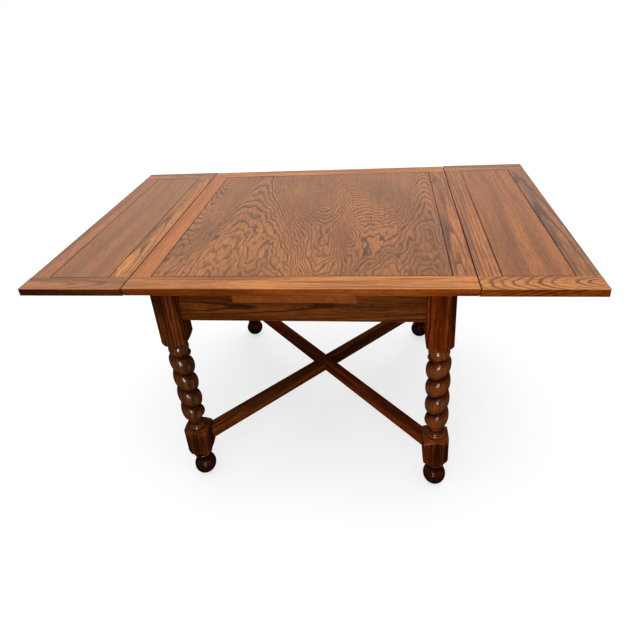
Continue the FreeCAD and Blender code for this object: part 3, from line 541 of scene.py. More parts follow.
@dataclass(frozen=True)
class OakFinish(Finish):
    """Polished solid oak cut from one place in a tree."""

    drift_range: ClassVar[Flat] = (0.35, 0.7)
    streak_range: ClassVar[Flat] = (0.43, 0.62)
    fibre_range: ClassVar[Flat] = (0.4, 0.62)
    fibre: ClassVar[float] = 0.46
    relief: ClassVar[float] = 0.35
    relief_depth: ClassVar[float] = 0.0004

    palette: Palette
    grain: Grain
    origin: Point = (0.0, 0.0, 0.0)
    heart: Flat = (0.01, -0.06)
    taper: float = 0.03
    spacing: float = 0.0032
    wander: float = 0.008
    contrast: float = 0.75
    pores: float = 0.6
    drift: float = 0.45
    streak: float = 0.5
    wear: float = 0.5
    # How far grime and painted shade darken the wood towards the pore colour.
    shade_and_grime: float = 0.8
    roughness: float = 0.42
    specular: float = 0.008
    # Colour multiplied into the upright faces as painted shade.
    edge: Colour = (0.54, 0.33, 0.13)
    coat: float = 0.72
    coat_roughness: float = 0.36
    coat_ior: float = 1.5
    # Rubbed colour on polished turning: wear, and painted light on the ridges.
    rubbed_and_lit: float = 0.0
    flame: Optional[Crown] = None

    def paint(self, bench: NodeBench, surface: bpy.types.NodeInputs, spot: Socket) -> None:
        """Feeds the surface with figure, pores, wear and polish.

        Args:
            bench: Bench on the material's tree.
            surface: Sockets of the surface.
            spot: Position on the table.
        """
        laid = {"Vector": spot, "Location": self.origin, "Rotation": self.grain.turn()}
        board = bench.wired("ShaderNodeMapping", laid, vector_type="TEXTURE")["Vector"]
        band, tone = self.figure(bench, board)
        pores = bench.place(Pores, Vector=board, Band=band)
        edge, grime_and_shade = bench.attribute(ARRIS), bench.attribute(GRIME_AND_SHADE)
        touch_and_shade = bench.place(HandlingAndShade, Vector=spot, Edge=edge, Hollow=grime_and_shade)
        shine = bench.attribute(POLISH)
        wood = self.palette
        colour = wood.light
        for share, towards in (
            (bench.math("MULTIPLY", band, self.contrast), wood.dark),
            (bench.span(tone, *self.drift_range, 0.0, self.drift), wood.dark),
            (bench.span(pores["Streak"], *self.streak_range, 0.0, self.streak), wood.dark),
            (bench.span(pores["Fibre"], *self.fibre_range, 0.0, self.fibre), wood.dark),
            (bench.math("MULTIPLY", pores["Pores"], self.pores), wood.pore),
        ):
            colour = bench.mix(share, colour, towards)
        # Painted shade: the upright faces are multiplied by the edge colour, so they are darker than the
        # upper faces.
        side_shaded = bench.mix(1.0, colour, self.edge, "MULTIPLY")
        colour = bench.mix(bench.attribute(SIDE), colour, side_shaded)
        # Painted light and shade: the rubbed colour lightens polished turning, as wear and as painted light;
        # the pore colour darkens joints, cants and valleys, as grime and as painted shade.
        for mask, weight, towards in (
            (shine, self.rubbed_and_lit, wood.worn),
            (touch_and_shade["Worn"], self.wear, wood.worn),
            (touch_and_shade["ShadeAndGrime"], self.shade_and_grime, wood.pore),
        ):
            colour = bench.mix(bench.math("MULTIPLY", mask, weight), colour, towards)
        bench.feed(surface["Base Color"], colour)
        bench.feed(surface["Roughness"], bench.weighted(
            (pores["Pores"], 0.18), (touch_and_shade["Smear"], 0.09), (touch_and_shade["ShadeAndGrime"], 0.15), (band, 0.05),
            (1.0, self.roughness - 0.05),
        ))
        height = bench.weighted((pores["Pores"], -0.7), (pores["Fibre"], 0.25), (band, -0.25))
        bump = {"Strength": self.relief, "Distance": self.relief_depth, "Height": height}
        bench.feed(surface["Normal"], bench.wired("ShaderNodeBump", bump)["Normal"])
        bench.feed(surface["Coat Weight"], bench.math("MULTIPLY", shine, self.coat))
        for label, constant in (
            ("Specular IOR Level", self.specular),
            ("Specular Tint", (*WARM, 1.0)),
            ("Coat Roughness", self.coat_roughness),
            ("Coat IOR", self.coat_ior),
        ):
            surface[label].default_value = constant

    def figure(self, bench: NodeBench, board: Socket) -> tuple[Socket, Socket]:
        """Growth rings of a solid board, with a light flame in them where the finish has one.

        Args:
            bench: Bench on the material's tree.
            board: Position in the board's own frame.

        Returns:
            Dark bands and slow tone.
        """
        side, depth = self.heart
        rings = bench.place(
            GrowthRings, Vector=board, Spacing=self.spacing, Heart_Side=side, Heart_Depth=depth,
            Taper=self.taper, Wander=self.wander,
        )
        if self.flame is None:
            return rings["Band"], rings["Tone"]
        wave = bench.swing(bench.stretch(board, (16.0, 60.0, 1.0)), 1.0)
        light = bench.weighted((wave, 0.6), (self.flame.mound(bench, board), 1.0))
        calm = bench.span(light, 0.42, 0.5, 1.0, 0.0)
        band = bench.math("MULTIPLY", bench.math("MAXIMUM", rings["Band"], 0.34), calm)
        faint = bench.math("MAXIMUM", band, bench.math("MULTIPLY", rings["Band"], 0.35))
        return faint, bench.math("MULTIPLY", rings["Tone"], calm)


@dataclass(frozen=True)
class FiguredVeneer(OakFinish):
    """Crown-cut veneer with a bold figure."""

    climb: float = 10.0

    def figure(self, bench: NodeBench, board: Socket) -> tuple[Socket, Socket]:
        """Bold and fine lines of the crown figure.

        Args:
            bench: Bench on the material's tree.
            board: Position in the board's own frame.

        Returns:
            Dark bands and slow tone.
        """
        crown = bench.place(CrownFigure, Vector=board, Climb=self.climb)
        return crown["Band"], crown["Tone"]


@dataclass(frozen=True)
class SteelFinish(Finish):
    """Dull steel of the screws, turned and slightly rusted."""

    name: str = "dull_steel"
    slot: str = "screw_steel"
    bright: Colour = (0.42, 0.40, 0.37)
    rust: Colour = (0.16, 0.07, 0.03)

    def paint(self, bench: NodeBench, surface: bpy.types.NodeInputs, spot: Socket) -> None:
        """Feeds the surface with bare and rusted metal.

        Args:
            bench: Bench on the material's tree.
            surface: Sockets of the surface.
            spot: Position on the table.
        """
        patch = bench.noise(bench.stretch(spot, (420.0, 420.0, 420.0)), 4.0)
        rust = bench.span(patch, 0.5, 0.68)
        bench.feed(surface["Base Color"], bench.mix(rust, self.bright, self.rust))
        bench.feed(surface["Metallic"], bench.span(rust, 0.0, 1.0, 1.0, 0.25))
        bench.feed(surface["Roughness"], bench.span(patch, 0.3, 0.7, 0.38, 0.75))


def plank(palette: Palette, grain: Grain, **cut: object) -> OakFinish:
    """Finish of a board of the upper face, with its origin counted from the board's middle."""
    return OakFinish("", "frame_oak", palette, grain, **cut)


TOP_RAIL = plank(
    HONEY, Grain.ALONG_X, origin=(0.0, 0.0015, 0.0), heart=(0.08, -0.03), taper=0.012, spacing=0.0085,
    wander=0.01, contrast=0.75, drift=0.3, streak=0.9,
)
TOP_CLAMP = plank(
    ORANGE, Grain.ALONG_Y, heart=(0.09, -0.02), taper=0.05, spacing=0.0095, wander=0.02, contrast=0.35,
    streak=0.4,
)
# The left leaf's rails take a deeper painted shade on their upright faces.
LEFT_RAIL = plank(
    AMBER, Grain.ALONG_X, origin=(0.04, 0.0, 0.0), heart=(-0.004, -0.022), taper=0.11, spacing=0.0085,
    wander=0.012, contrast=0.7, edge=(0.29, 0.18, 0.085),
)
PLAIN_PANEL = OakFinish(
    "", "plain_veneer", TAWNY, Grain.ALONG_Y, heart=(0.22, -0.12), taper=0.01, spacing=0.009, wander=0.012,
    contrast=0.4, drift=0.35, streak=0.32, pores=0.9,
)
BOARDS: dict[str, OakFinish] = {
    "top_front_rail": replace(
        TOP_RAIL, origin=(0.0, -0.0015, 0.0), heart=(0.07, -0.03), flame=Crown((0.26, 0.0), (0.47, 0.4), 1.0)
    ),
    "top_back_rail": TOP_RAIL,
    "top_left_clamp": TOP_CLAMP,
    "top_right_clamp": replace(TOP_CLAMP, palette=STRIPED, heart=(0.008, -0.034), contrast=0.8, streak=0.75),
    "top_panel": FiguredVeneer(
        "", "figured_veneer", FIGURED, Grain.ALONG_Y, contrast=1.0, drift=0.4, streak=0.2
    ),
    "left_leaf_front_rail": LEFT_RAIL,
    "left_leaf_back_rail": LEFT_RAIL,
    "left_leaf_inner_stile": plank(
        FLAME, Grain.ALONG_Y, heart=(0.006, -0.03), taper=0.05, spacing=0.0095, wander=0.014, contrast=0.8,
        streak=0.25, flame=Crown((-0.3, 0.016), (0.085, 0.014), 1.0),
    ),
    "left_leaf_outer_stile": plank(
        AMBER, Grain.ALONG_Y, heart=(0.06, -0.03), spacing=0.0085, wander=0.01, contrast=0.55
    ),
    "left_leaf_panel": PLAIN_PANEL,
    # The right leaf's front rail takes a lighter painted shade on its upright faces.
    "right_leaf_front_rail": plank(
        CHEVRON, Grain.ALONG_X, origin=(0.12, 0.0, 0.0), heart=(0.002, -0.012), taper=-0.25, spacing=0.0072,
        wander=0.015, contrast=1.0, drift=0.15, streak=0.15, edge=(0.62, 0.43, 0.18),
    ),
    "right_leaf_back_rail": plank(
        AMBER, Grain.ALONG_X, heart=(0.08, -0.03), taper=0.01, spacing=0.0085, wander=0.01, contrast=0.5
    ),
    "right_leaf_inner_stile": plank(
        STRIPED, Grain.ALONG_Y, heart=(0.075, -0.03), spacing=0.0105, wander=0.007, contrast=0.95, drift=0.25
    ),
    "right_leaf_outer_stile": plank(
        SMOKED, Grain.ALONG_Y, heart=(0.012, -0.03), taper=0.05, spacing=0.014, wander=0.024, contrast=0.9
    ),
    "right_leaf_panel": replace(PLAIN_PANEL, palette=RUSSET, drift=0.5, streak=0.5),
}
LEG_OAK = OakFinish(
    "", "dark_oak", DARK, Grain.UPRIGHT, spacing=0.0115, wander=0.024, contrast=1.0, roughness=0.4,
    specular=0.0, wear=0.6, streak=0.85, shade_and_grime=0.95, coat=0.022, coat_roughness=0.17, coat_ior=2.0,
    rubbed_and_lit=0.34,
)
STRETCHER_OAK = OakFinish(
    "", "dark_oak", DARK, Grain.RISING, origin=(0.1, 0.1, 0.15), heart=(0.03, -0.06), taper=0.02, streak=0.8,
    spacing=0.009, wander=0.016, contrast=0.85, roughness=0.66, wear=0.6,
)
RAIL_OAK = OakFinish(
    "", "rail_oak", APRON, Grain.END_FACE, taper=0.05, spacing=0.0098, wander=0.02, contrast=1.0,
    roughness=0.4, specular=0.005,
)
HIDDEN_OAK = OakFinish("", "hidden_oak", HIDDEN, Grain.UPRIGHT, roughness=0.6)


def put(name: str, data: bpy.types.ID) -> bpy.types.Object:
    """Adds an object to the scene.

    Args:
        name: Name of the object.
        data: Its mesh, lamp or camera.

    Returns:
        The new object.
    """
    made = bpy.data.objects.new(name, data)
    bpy.context.scene.collection.objects.link(made)
    return made


def as_mesh(shape: bmesh.types.BMesh, name: str) -> bpy.types.Mesh:
    """Writes a finished shape into a mesh.

    Args:
        shape: The shape; it is freed.
        name: Name of the mesh.

    Returns:
        The new mesh.
    """
    mesh = bpy.data.meshes.new(name)
    shape.to_mesh(mesh)
    shape.free()
    return mesh


def draw_out(shape: bmesh.types.BMesh, face: bmesh.types.BMFace, run: Vector) -> None:
    """Extrudes one face, which stays where it is.

    Args:
        shape: Shape to change.
        face: Face to extrude.
        run: How far, in millimetres.
    """
    swept = bmesh.ops.extrude_face_region(shape, geom=[face])["geom"]
    moved = [item for item in swept if isinstance(item, bmesh.types.BMVert)]
    bmesh.ops.translate(shape, verts=moved, vec=run * MM)


def prism(outline: Sequence[Flat], plane: Plane, low: float, high: float) -> bmesh.types.BMesh:
    """Solid with a drawn outline.

    Args:
        outline: Corners in order, in millimetres.
        plane: Plane of the outline.
        low: Where the solid starts off the plane, in millimetres.
        high: Where it ends.

    Returns:
        The closed shape in metres.
    """
    shape = bmesh.new()
    shape.loops.layers.float.new(ARRIS)
    shape.loops.layers.float.new(GRIME_AND_SHADE)
    corners = [shape.verts.new(Vector(plane.point(u, v, low)) * MM) for u, v in outline]
    draw_out(shape, shape.faces.new(corners), plane.run(high - low))
    bmesh.ops.recalc_face_normals(shape, faces=shape.faces)
    return shape


def block(low: Point, high: Point) -> bmesh.types.BMesh:
    """Square block between two corners in millimetres."""
    outline = [(low[0], low[1]), (high[0], low[1]), (high[0], high[1]), (low[0], high[1])]
    return prism(outline, Plane.XY, low[2], high[2])


def ease(
    shape: bmesh.types.BMesh,
    width: float,
    chosen: Callable[[Vector], bool] = lambda spot: True,
    segments: int = 3,
    paint: str = ARRIS,
) -> None:
    """Rounds sharp edges that aren't rounded yet and paints the rounding.

    Args:
        shape: Shape to change.
        width: Rounding in millimetres.
        chosen: Says from an edge's middle, in millimetres, whether the edge is rounded.
        segments: Steps of the rounding.
        paint: What the rounding is painted as.
    """
    layers = [shape.loops.layers.float[name] for name in (ARRIS, GRIME_AND_SHADE)]
    edges = []
    for edge in shape.edges:
        around = [loop for face in edge.link_faces for loop in face.loops]
        painted = any(loop[layer] > PAINTED for layer in layers for loop in around)
        middle = (edge.verts[0].co + edge.verts[1].co) * (0.5 / MM)
        if not painted and edge.calc_face_angle(0.0) > SHARP and chosen(middle):
            edges.append(edge)
    made = bmesh.ops.bevel(
        shape, geom=edges, offset=width * MM, offset_type="OFFSET", segments=segments, profile=0.5,
        affect="EDGES", clamp_overlap=True, material=-1,
    )
    for face in made["faces"]:
        for loop in face.loops:
            loop[shape.loops.layers.float[paint]] = 1.0


def paint_polish_and_shade(shape: bmesh.types.BMesh) -> None:
    """Paints the upper faces, rubbed to a shine, and the upright ones, which are darkened as painted shade.

    Args:
        shape: Shape to paint.
    """
    shine = shape.loops.layers.float.new(POLISH)
    side = shape.loops.layers.float.new(SIDE)
    shape.normal_update()
    for face in shape.faces:
        for loop in face.loops:
            loop[shine] = 1.0 if face.normal.z > LEVEL else 0.0
            loop[side] = 1.0 if abs(face.normal.z) < LEVEL else 0.0


def settle(
    shape: bmesh.types.BMesh, name: str, finish: Finish, body: str, node: str, smooth: bool = False
) -> bpy.types.Object:
    """Turns a finished shape into a piece of the table.

    Args:
        shape: Shape in its place; it is freed.
        name: Piece name.
        finish: Finish of the piece.
        body: Body that it rides on.
        node: Solid that it stands for.
        smooth: Shade its faces smooth.

    Returns:
        The new object.
    """
    for face in shape.faces:
        face.smooth = smooth
    piece = put(name, as_mesh(shape, name))
    piece.data.materials.append(finish.material())
    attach(piece, body)
    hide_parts(node)
    LOG.info("piece %s on %s", name, body)
    return piece


def dress_node(name: str, finish: Finish) -> None:
    """Gives a solid whose shape is right its finish.

    Args:
        name: Name of the solid.
        finish: Its finish.
    """
    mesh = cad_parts[name].data
    mesh.materials.clear()
    mesh.materials.append(finish.material())
    LOG.info("node %s in %s", name, finish.name)


def off(angle: float) -> float:
    """Size of an angle, the short way round."""
    return abs((angle + math.pi) % TURN - math.pi)


@dataclass
class TurnedProfile:
    """Heights and radii of one leg in millimetres, from the floor up; spans over beads are in degrees."""

    half: float = 38.0
    cant: float = 17.0
    dome: float = 100.0
    foot_radius: float = 34.5
    foot_centre: float = 31.0
    ankle: float = 25.0
    ankle_low: float = 68.0
    ankle_bead: float = 5.0
    ankle_bead_height: float = 85.0
    ankle_bead_span: Flat = (-88.0, 88.0)
    lower_low: float = 106.0
    lower_high: float = 197.0
    ring_spread: float = 21.0
    ring: float = 7.0
    ring_height: float = 207.0
    ring_span: Flat = (-54.0, 58.0)
    ring_seat: float = 25.0
    neck: float = 20.0
    neck_low: float = 213.2
    neck_top: float = 236.0
    neck_flare: float = 4.6
    neck_curve: float = 1.6
    twist_low: float = 243.0
    twist_high: float = 496.0
    pitch: float = 64.5
    core: float = 19.0
    swell: float = 16.0
    flatten: float = 0.97
    die: float = 22.0
    die_length: float = 15.0
    die_rise: float = 18.0
    blend: float = 3.0
    bulge_turn: float = 46.7
    bulge_height: float = 228.0
    bead: float = 30.0
    bead_height: float = 513.0
    bead_span: Flat = (-33.0, 44.0)
    bead_length: float = 34.0
    bead_neck: float = 20.5
    upper_low: float = 541.0
    upper_middle: float = 640.0
    top: float = 718.0
    top_edge: tuple[Flat, ...] = ((1.2, 0.0), (0.4, 0.35), (0.0, 1.2))
    seat: float = 41.0
    seat_low: float = 122.0
    seat_high: float = 172.0
    seat_step: float = 0.05
    arris: float = 4.0
    lip: float = 1.6


@dataclass
class Station:
    """One row round the leg: how its radius, height and paint follow from the column's angle."""

    radius: Callable[[float], float]
    height: Callable[[float], float]
    turn: float = 0.0
    grime_and_shade: Callable[[float], float] = field(default=lambda angle: 0.0)
    arris: Callable[[float], float] = field(default=lambda angle: 0.0)
    # Polish weighs the coat, and the rubbed colour laid on the turning as wear and as painted light.
    polish: float = 0.0


@dataclass
class TwistLeg:
    """Leg turned and twisted from square stock, built about its axis with its outer corner at 45 degrees.

    The arris steps, margin and width are in degrees; the lower block's darkening and the painted shade on the
    cants go from zero to one.
    """

    name: str
    place: Flat
    outward: Flat
    finish: OakFinish
    size: TurnedProfile = field(default_factory=TurnedProfile)
    columns: int = 150
    foot_rows: int = 24
    bead_rows: int = 13
    neck_rows: int = 7
    twist_rows: int = 132
    upper_bead_rows: int = 17
    arris_steps: tuple[float, ...] = (0.3, 0.85, 1.5, 2.2)
    arris_margin: float = 2.9
    arris_width: float = 2.4
    # Darkening of the lower block's faces, and painted shade on the blocks' outer cants.
    lower_block_darkening: float = 0.42
    cant_shade: float = 0.72
    seat_facing: float = 0.5
    bead_darkening: Flat = (35.0, 40.0)
    foot_darkening: Flat = (1.25, 110.0)
    # Where the twist starts to darken towards its valley, and how fast, as grime and as painted shade.
    valley_start: float = 0.3
    valley_curve: float = 1.2
    dome_polish: float = 0.7

    def angles(self) -> list[float]:
        """Columns round the leg, crowded where the block has its arrises.

        Returns:
            Angles in radians, in order.
        """
        edges = sorted(self.arris_angles())
        crowd = [side * math.radians(step) for step in self.arris_steps for side in (-1, 1)]
        spots = [edge + step for edge in edges for step in crowd]
        free = self.columns - len(spots)
        margin = math.radians(self.arris_margin)
        total = TURN - 2.0 * margin * len(edges)
        given = 0
        walked = 0.0
        for start, stop in zip(edges, edges[1:] + [edges[0] + TURN]):
            length = stop - start - 2.0 * margin
            walked += length
            count = round(free * walked / total) - given
            given += count
            spots.extend(start + margin + length * (step + 0.5) / count for step in range(count))
        return sorted(angle % TURN for angle in spots)

    def arris_angles(self) -> list[float]:
        """Angles of the block's five upright arrises."""
        lean = math.atan2(self.size.half - self.size.cant, self.size.half)
        return [lean, math.pi / 2 - lean, 0.75 * math.pi, INNER_CORNER, 1.75 * math.pi]

    def stock(self, angle: float) -> float:
        """Canted square block with softened arrises.

        Args:
            angle: Angle round the leg.

        Returns:
            Radius of the block.
        """
        size = self.size
        faces = [(size.half, quarter * math.pi / 2) for quarter in range(4)]
        faces.append(((2 * size.half - size.cant) / math.sqrt(2.0), math.pi / 4))
        reaches = [size.dome]
        for reach, normal in faces:
            facing = math.cos(angle - normal)
            if facing > GRAZING:
                reaches.append(reach / facing)
        reaches.sort()
        near = max(size.arris - (reaches[1] - reaches[0]), 0.0) / size.arris
        return reaches[0] - near * near * size.arris / 4.0

    def on_arris(self, angle: float) -> float:
        """One on an upright arris of the block and zero on its faces."""
        gap = min(off(angle - arris) for arris in self.arris_angles())
        return max(0.0, 1.0 - math.degrees(gap) / self.arris_width)

    def bine(self, angle: float, height: float) -> float:
        """Rope of the twist, which dies into the turning at both ends.

        Args:
            angle: Angle from the bine's ridge.
            height: Height of the row.

        Returns:
            Radius of the twist.
        """
        size = self.size
        rope = size.core + size.swell * math.sqrt(1.0 - (size.flatten * off(angle) / math.pi) ** 2)
        ends = min(height - size.twist_low, size.twist_high - height)
        dying = size.die + size.die_rise * ends / size.die_length
        near = max(size.blend - abs(rope - dying), 0.0) / size.blend
        return min(rope, dying) - near * near * size.blend / 4.0

    def shoulder(
        self, base: float, sign: float, start: float, steps: int = 9, lip_steps: int = 4
    ) -> list[Station]:
        """Domed shoulder of a block with a soft lip where it meets the faces.

        Args:
            base: Height of the face's edge at its middle.
            sign: One where the dome looks up and minus one where it looks down.
            start: Radius where the dome leaves the turning.
            steps: Rows on the dome.
            lip_steps: Rows on the lip.

        Returns:
            The rows from below upwards.
        """
        size = self.size
        centre = base - sign * math.sqrt(size.dome ** 2 - size.half ** 2)

        def dome(radius: float) -> float:
            """Height of the dome at a radius."""
            return centre + sign * math.sqrt(size.dome ** 2 - radius ** 2)

        def radius(angle: float, share: float) -> float:
            """Radius of a row on the dome."""
            return start + (self.stock(angle) - size.lip - start) * share

        def lip_height(angle: float, share: float) -> float:
            """Height of a row on the lip, which bends from the dome on to the face."""
            edge, rim = dome(self.stock(angle) - size.lip), dome(self.stock(angle))
            return edge + (rim - edge) * 2 * share * (1 - share) + (rim - sign * size.lip - edge) * share ** 2

        rows = []
        for step in range(steps):
            share = step / (steps - 1)
            darkening = max(0.0, 1.0 - share * 3.0)
            rows.append(Station(
                lambda angle, share=share: radius(angle, share),
                lambda angle, share=share: dome(radius(angle, share)),
                grime_and_shade=lambda angle, darkening=darkening: darkening,
                polish=self.dome_polish,
            ))
        for step in range(1, lip_steps + 1):
            share = step / lip_steps
            lit = 1.0 - abs(2 * share - 1)
            rows.append(Station(
                lambda angle, share=share: self.stock(angle) - size.lip * (1.0 - share) ** 2,
                lambda angle, share=share: lip_height(angle, share),
                arris=lambda angle, lit=lit: lit,
                polish=lit,
            ))
        return rows if sign < 0 else rows[::-1]

    def face_row(self, height: float, seated: bool = False, shrink: float = 0.0) -> Station:
        """Row on a block's faces.

        Args:
            height: Height of the row.
            seated: Cut back to the stretcher's seat on the inner corner.
            shrink: How far the row lies inside the faces.

        Returns:
            The row.
        """
        low = self.lower_block_darkening if height < self.size.lower_high else 0.0

        def radius(angle: float) -> float:
            """Radius of the block or of the seat."""
            reach, facing = self.stock(angle) - shrink, math.cos(angle - INNER_CORNER)
            return min(reach, self.size.seat / facing) if seated and facing > self.seat_facing else reach

        def darkening(angle: float) -> float:
            """Painted shade on the cants, and darkening of the lower block's faces."""
            on_cant = abs(angle - math.pi / 4) < math.pi / 4 - self.arris_angles()[0]
            return self.cant_shade if on_cant else low

        return Station(radius, lambda angle: height, 0.0, darkening, self.on_arris)

    def round_rows(
        self,
        spread: float,
        radius: float,
        centre: float,
        span: Flat,
        steps: int,
        turn: Callable[[float], float] = lambda high: 0.0,
    ) -> list[Station]:
        """Rows over a bead.

        Args:
            spread: Radius of the bead's circle.
            radius: Radius of the bead.
            centre: Height of the bead.
            span: First and last angle over the bead in degrees, from level.
            steps: Rows.
            turn: Turn of a row about the axis, from its height.

        Returns:
            The rows.
        """
        start, stop = span
        clean, rise = self.bead_darkening
        most, reach = self.foot_darkening
        rows = []
        for step in range(steps):
            lift = math.radians(start + (stop - start) * step / (steps - 1))
            high = centre + radius * math.sin(lift)
            darkening = max(0.0, abs(math.degrees(lift)) - clean) / rise
            # Darker towards the floor.
            darkening = max(darkening, most - high / reach)
            rows.append(self.plain_row(spread + radius * math.cos(lift), high, turn(high), min(darkening, 1.0)))
        return rows

    def plain_row(self, radius: float, height: float, turn: float = 0.0, darkening: float = 0.0) -> Station:
        """Round row."""
        return Station(lambda angle: radius, lambda angle: height, turn, lambda angle: darkening, polish=1.0)

    def stations(self) -> list[Station]:
        """All rows of the leg.

        Returns:
            The rows from the foot's flat to the block's top.
        """
        size = self.size
        length = size.twist_high - size.twist_low
        start = 360.0 * (size.twist_low - size.bulge_height) / size.pitch
        valley = math.radians(180.0 - size.bulge_turn - start) % TURN
        nudge = valley - min(self.angles(), key=lambda angle: abs(angle - valley))
        full = -TURN * round(length / size.pitch)
        spun = -TURN * length / size.pitch

        def settling(height: float) -> float:
            """Turn of a row above the twist, which ends on whole turns."""
            share = min(max((height - size.twist_high) / size.bead_length, 0.0), 1.0)
            return nudge + spun + (full - spun - nudge) * share

        flat = math.sqrt(size.foot_radius ** 2 - size.foot_centre ** 2)
        low_angle = math.degrees(math.atan2(-size.foot_centre, flat))
        high_angle = math.degrees(math.acos(size.ankle / size.foot_radius))
        foot_span = (low_angle, high_angle)
        rows = self.round_rows(0.0, size.foot_radius, size.foot_centre, foot_span, self.foot_rows)
        rows.append(self.plain_row(size.ankle, size.ankle_low, 0.0, 1.0))
        rows += self.round_rows(
            size.ankle, size.ankle_bead, size.ankle_bead_height, size.ankle_bead_span, self.bead_rows
        )
        rows += self.shoulder(size.lower_low, -1.0, size.ankle)
        gap = size.seat_step
        rows.append(self.face_row(size.seat_low - gap))
        rows.append(self.face_row(size.seat_low + gap, True))
        rows.append(self.face_row(size.seat_high - gap, True))
        rows.append(self.face_row(size.seat_high + gap))
        rows += self.shoulder(size.lower_high, 1.0, size.ring_seat)
        rows += self.round_rows(
            size.ring_spread, size.ring, size.ring_height, size.ring_span, self.bead_rows
        )
        for step in range(1, self.neck_rows + 1):
            share = step / self.neck_rows
            out = size.neck + size.neck_flare * (1.0 - share) ** size.neck_curve
            high = size.neck_low + (size.neck_top - size.neck_low) * share
            rows.append(self.plain_row(out, high, nudge * share, 1.0 - 2 * abs(share - 0.5)))
        for step in range(self.twist_rows + 1):
            share = step / self.twist_rows
            rows.append(self.twist_row(size.twist_low + length * share, nudge + spun * share, valley))
        rows += self.round_rows(
            0.0, size.bead, size.bead_height, size.bead_span, self.upper_bead_rows, settling
        )
        rows += self.shoulder(size.upper_low, -1.0, size.bead_neck)
        rows.append(self.face_row(size.upper_middle))
        rows += [self.face_row(size.top - drop, False, shrink) for drop, shrink in size.top_edge]
        return rows

    def twist_row(self, height: float, turn: float, valley: float) -> Station:
        """Row of the twist, turned along with the bine so that its valley stays on one column.

        Args:
            height: Height of the row.
            turn: Turn of the row about the axis.
            valley: Angle of the valley at the twist's foot.

        Returns:
            The row.
        """
        ridge = valley - math.pi
        climb = -TURN * (height - self.size.twist_low) / self.size.pitch

        def radius(angle: float) -> float:
            """Radius of the twist on a column."""
            return self.bine(angle + turn - climb - ridge, height)

        def grime_and_shade(angle: float) -> float:
            """Painted shade and grime, darker towards the valley."""
            away = off(angle + turn - climb - ridge) / math.pi
            return max(0.0, (away - self.valley_start) / (1.0 - self.valley_start)) ** self.valley_curve

        return Station(radius, lambda angle: height, turn, grime_and_shade, polish=1.0)

    def build(self) -> None:
        """Makes the leg from a divided cylinder whose rows are moved to their stations."""
        rows = self.stations()
        angles = self.angles()
        shape = bmesh.new()
        bmesh.ops.create_cone(
            shape, cap_ends=True, cap_tris=False, segments=len(angles), radius1=1.0, radius2=1.0, depth=1.0
        )
        uprights = [edge for edge in shape.edges if abs(edge.verts[0].co.z - edge.verts[1].co.z) > 0.5]
        bmesh.ops.subdivide_edges(shape, edges=uprights, cuts=len(rows) - 2, use_grid_fill=True)
        grime_and_shade_layer = shape.verts.layers.float.new(GRIME_AND_SHADE)
        arris_layer = shape.verts.layers.float.new(ARRIS)
        polish_layer = shape.verts.layers.float.new(POLISH)
        step = TURN / len(angles)
        first = min(math.atan2(vert.co.y, vert.co.x) % step for vert in shape.verts)
        first = 0.0 if step - first < CLOSE else first
        for vert in shape.verts:
            row = rows[round((vert.co.z + 0.5) * (len(rows) - 1))]
            column = round((math.atan2(vert.co.y, vert.co.x) - first) / step) % len(angles)
            angle = angles[column]
            radius = row.radius(angle) * MM
            seen = angle + row.turn
            vert.co = Vector((radius * math.cos(seen), radius * math.sin(seen), row.height(angle) * MM))
            vert[grime_and_shade_layer] = row.grime_and_shade(angle)
            vert[arris_layer] = row.arris(angle)
            # The polish, and with it the rubbed colour painted as light, fades where grime and painted shade
            # are painted.
            vert[polish_layer] = row.polish * (1.0 - row.grime_and_shade(angle))
        flip = Matrix.Diagonal((*self.outward, 1.0))
        bmesh.ops.transform(shape, matrix=flip.to_4x4(), verts=shape.verts)
        bmesh.ops.translate(shape, verts=shape.verts, vec=Vector((*self.place, 0.0)) * MM)
        bmesh.ops.recalc_face_normals(shape, faces=shape.faces)
        piece = settle(shape, self.name + "_turning", self.finish, "frame", self.name, True)
        for face in piece.data.polygons:
            if len(face.vertices) > 4:
                face.use_smooth = False


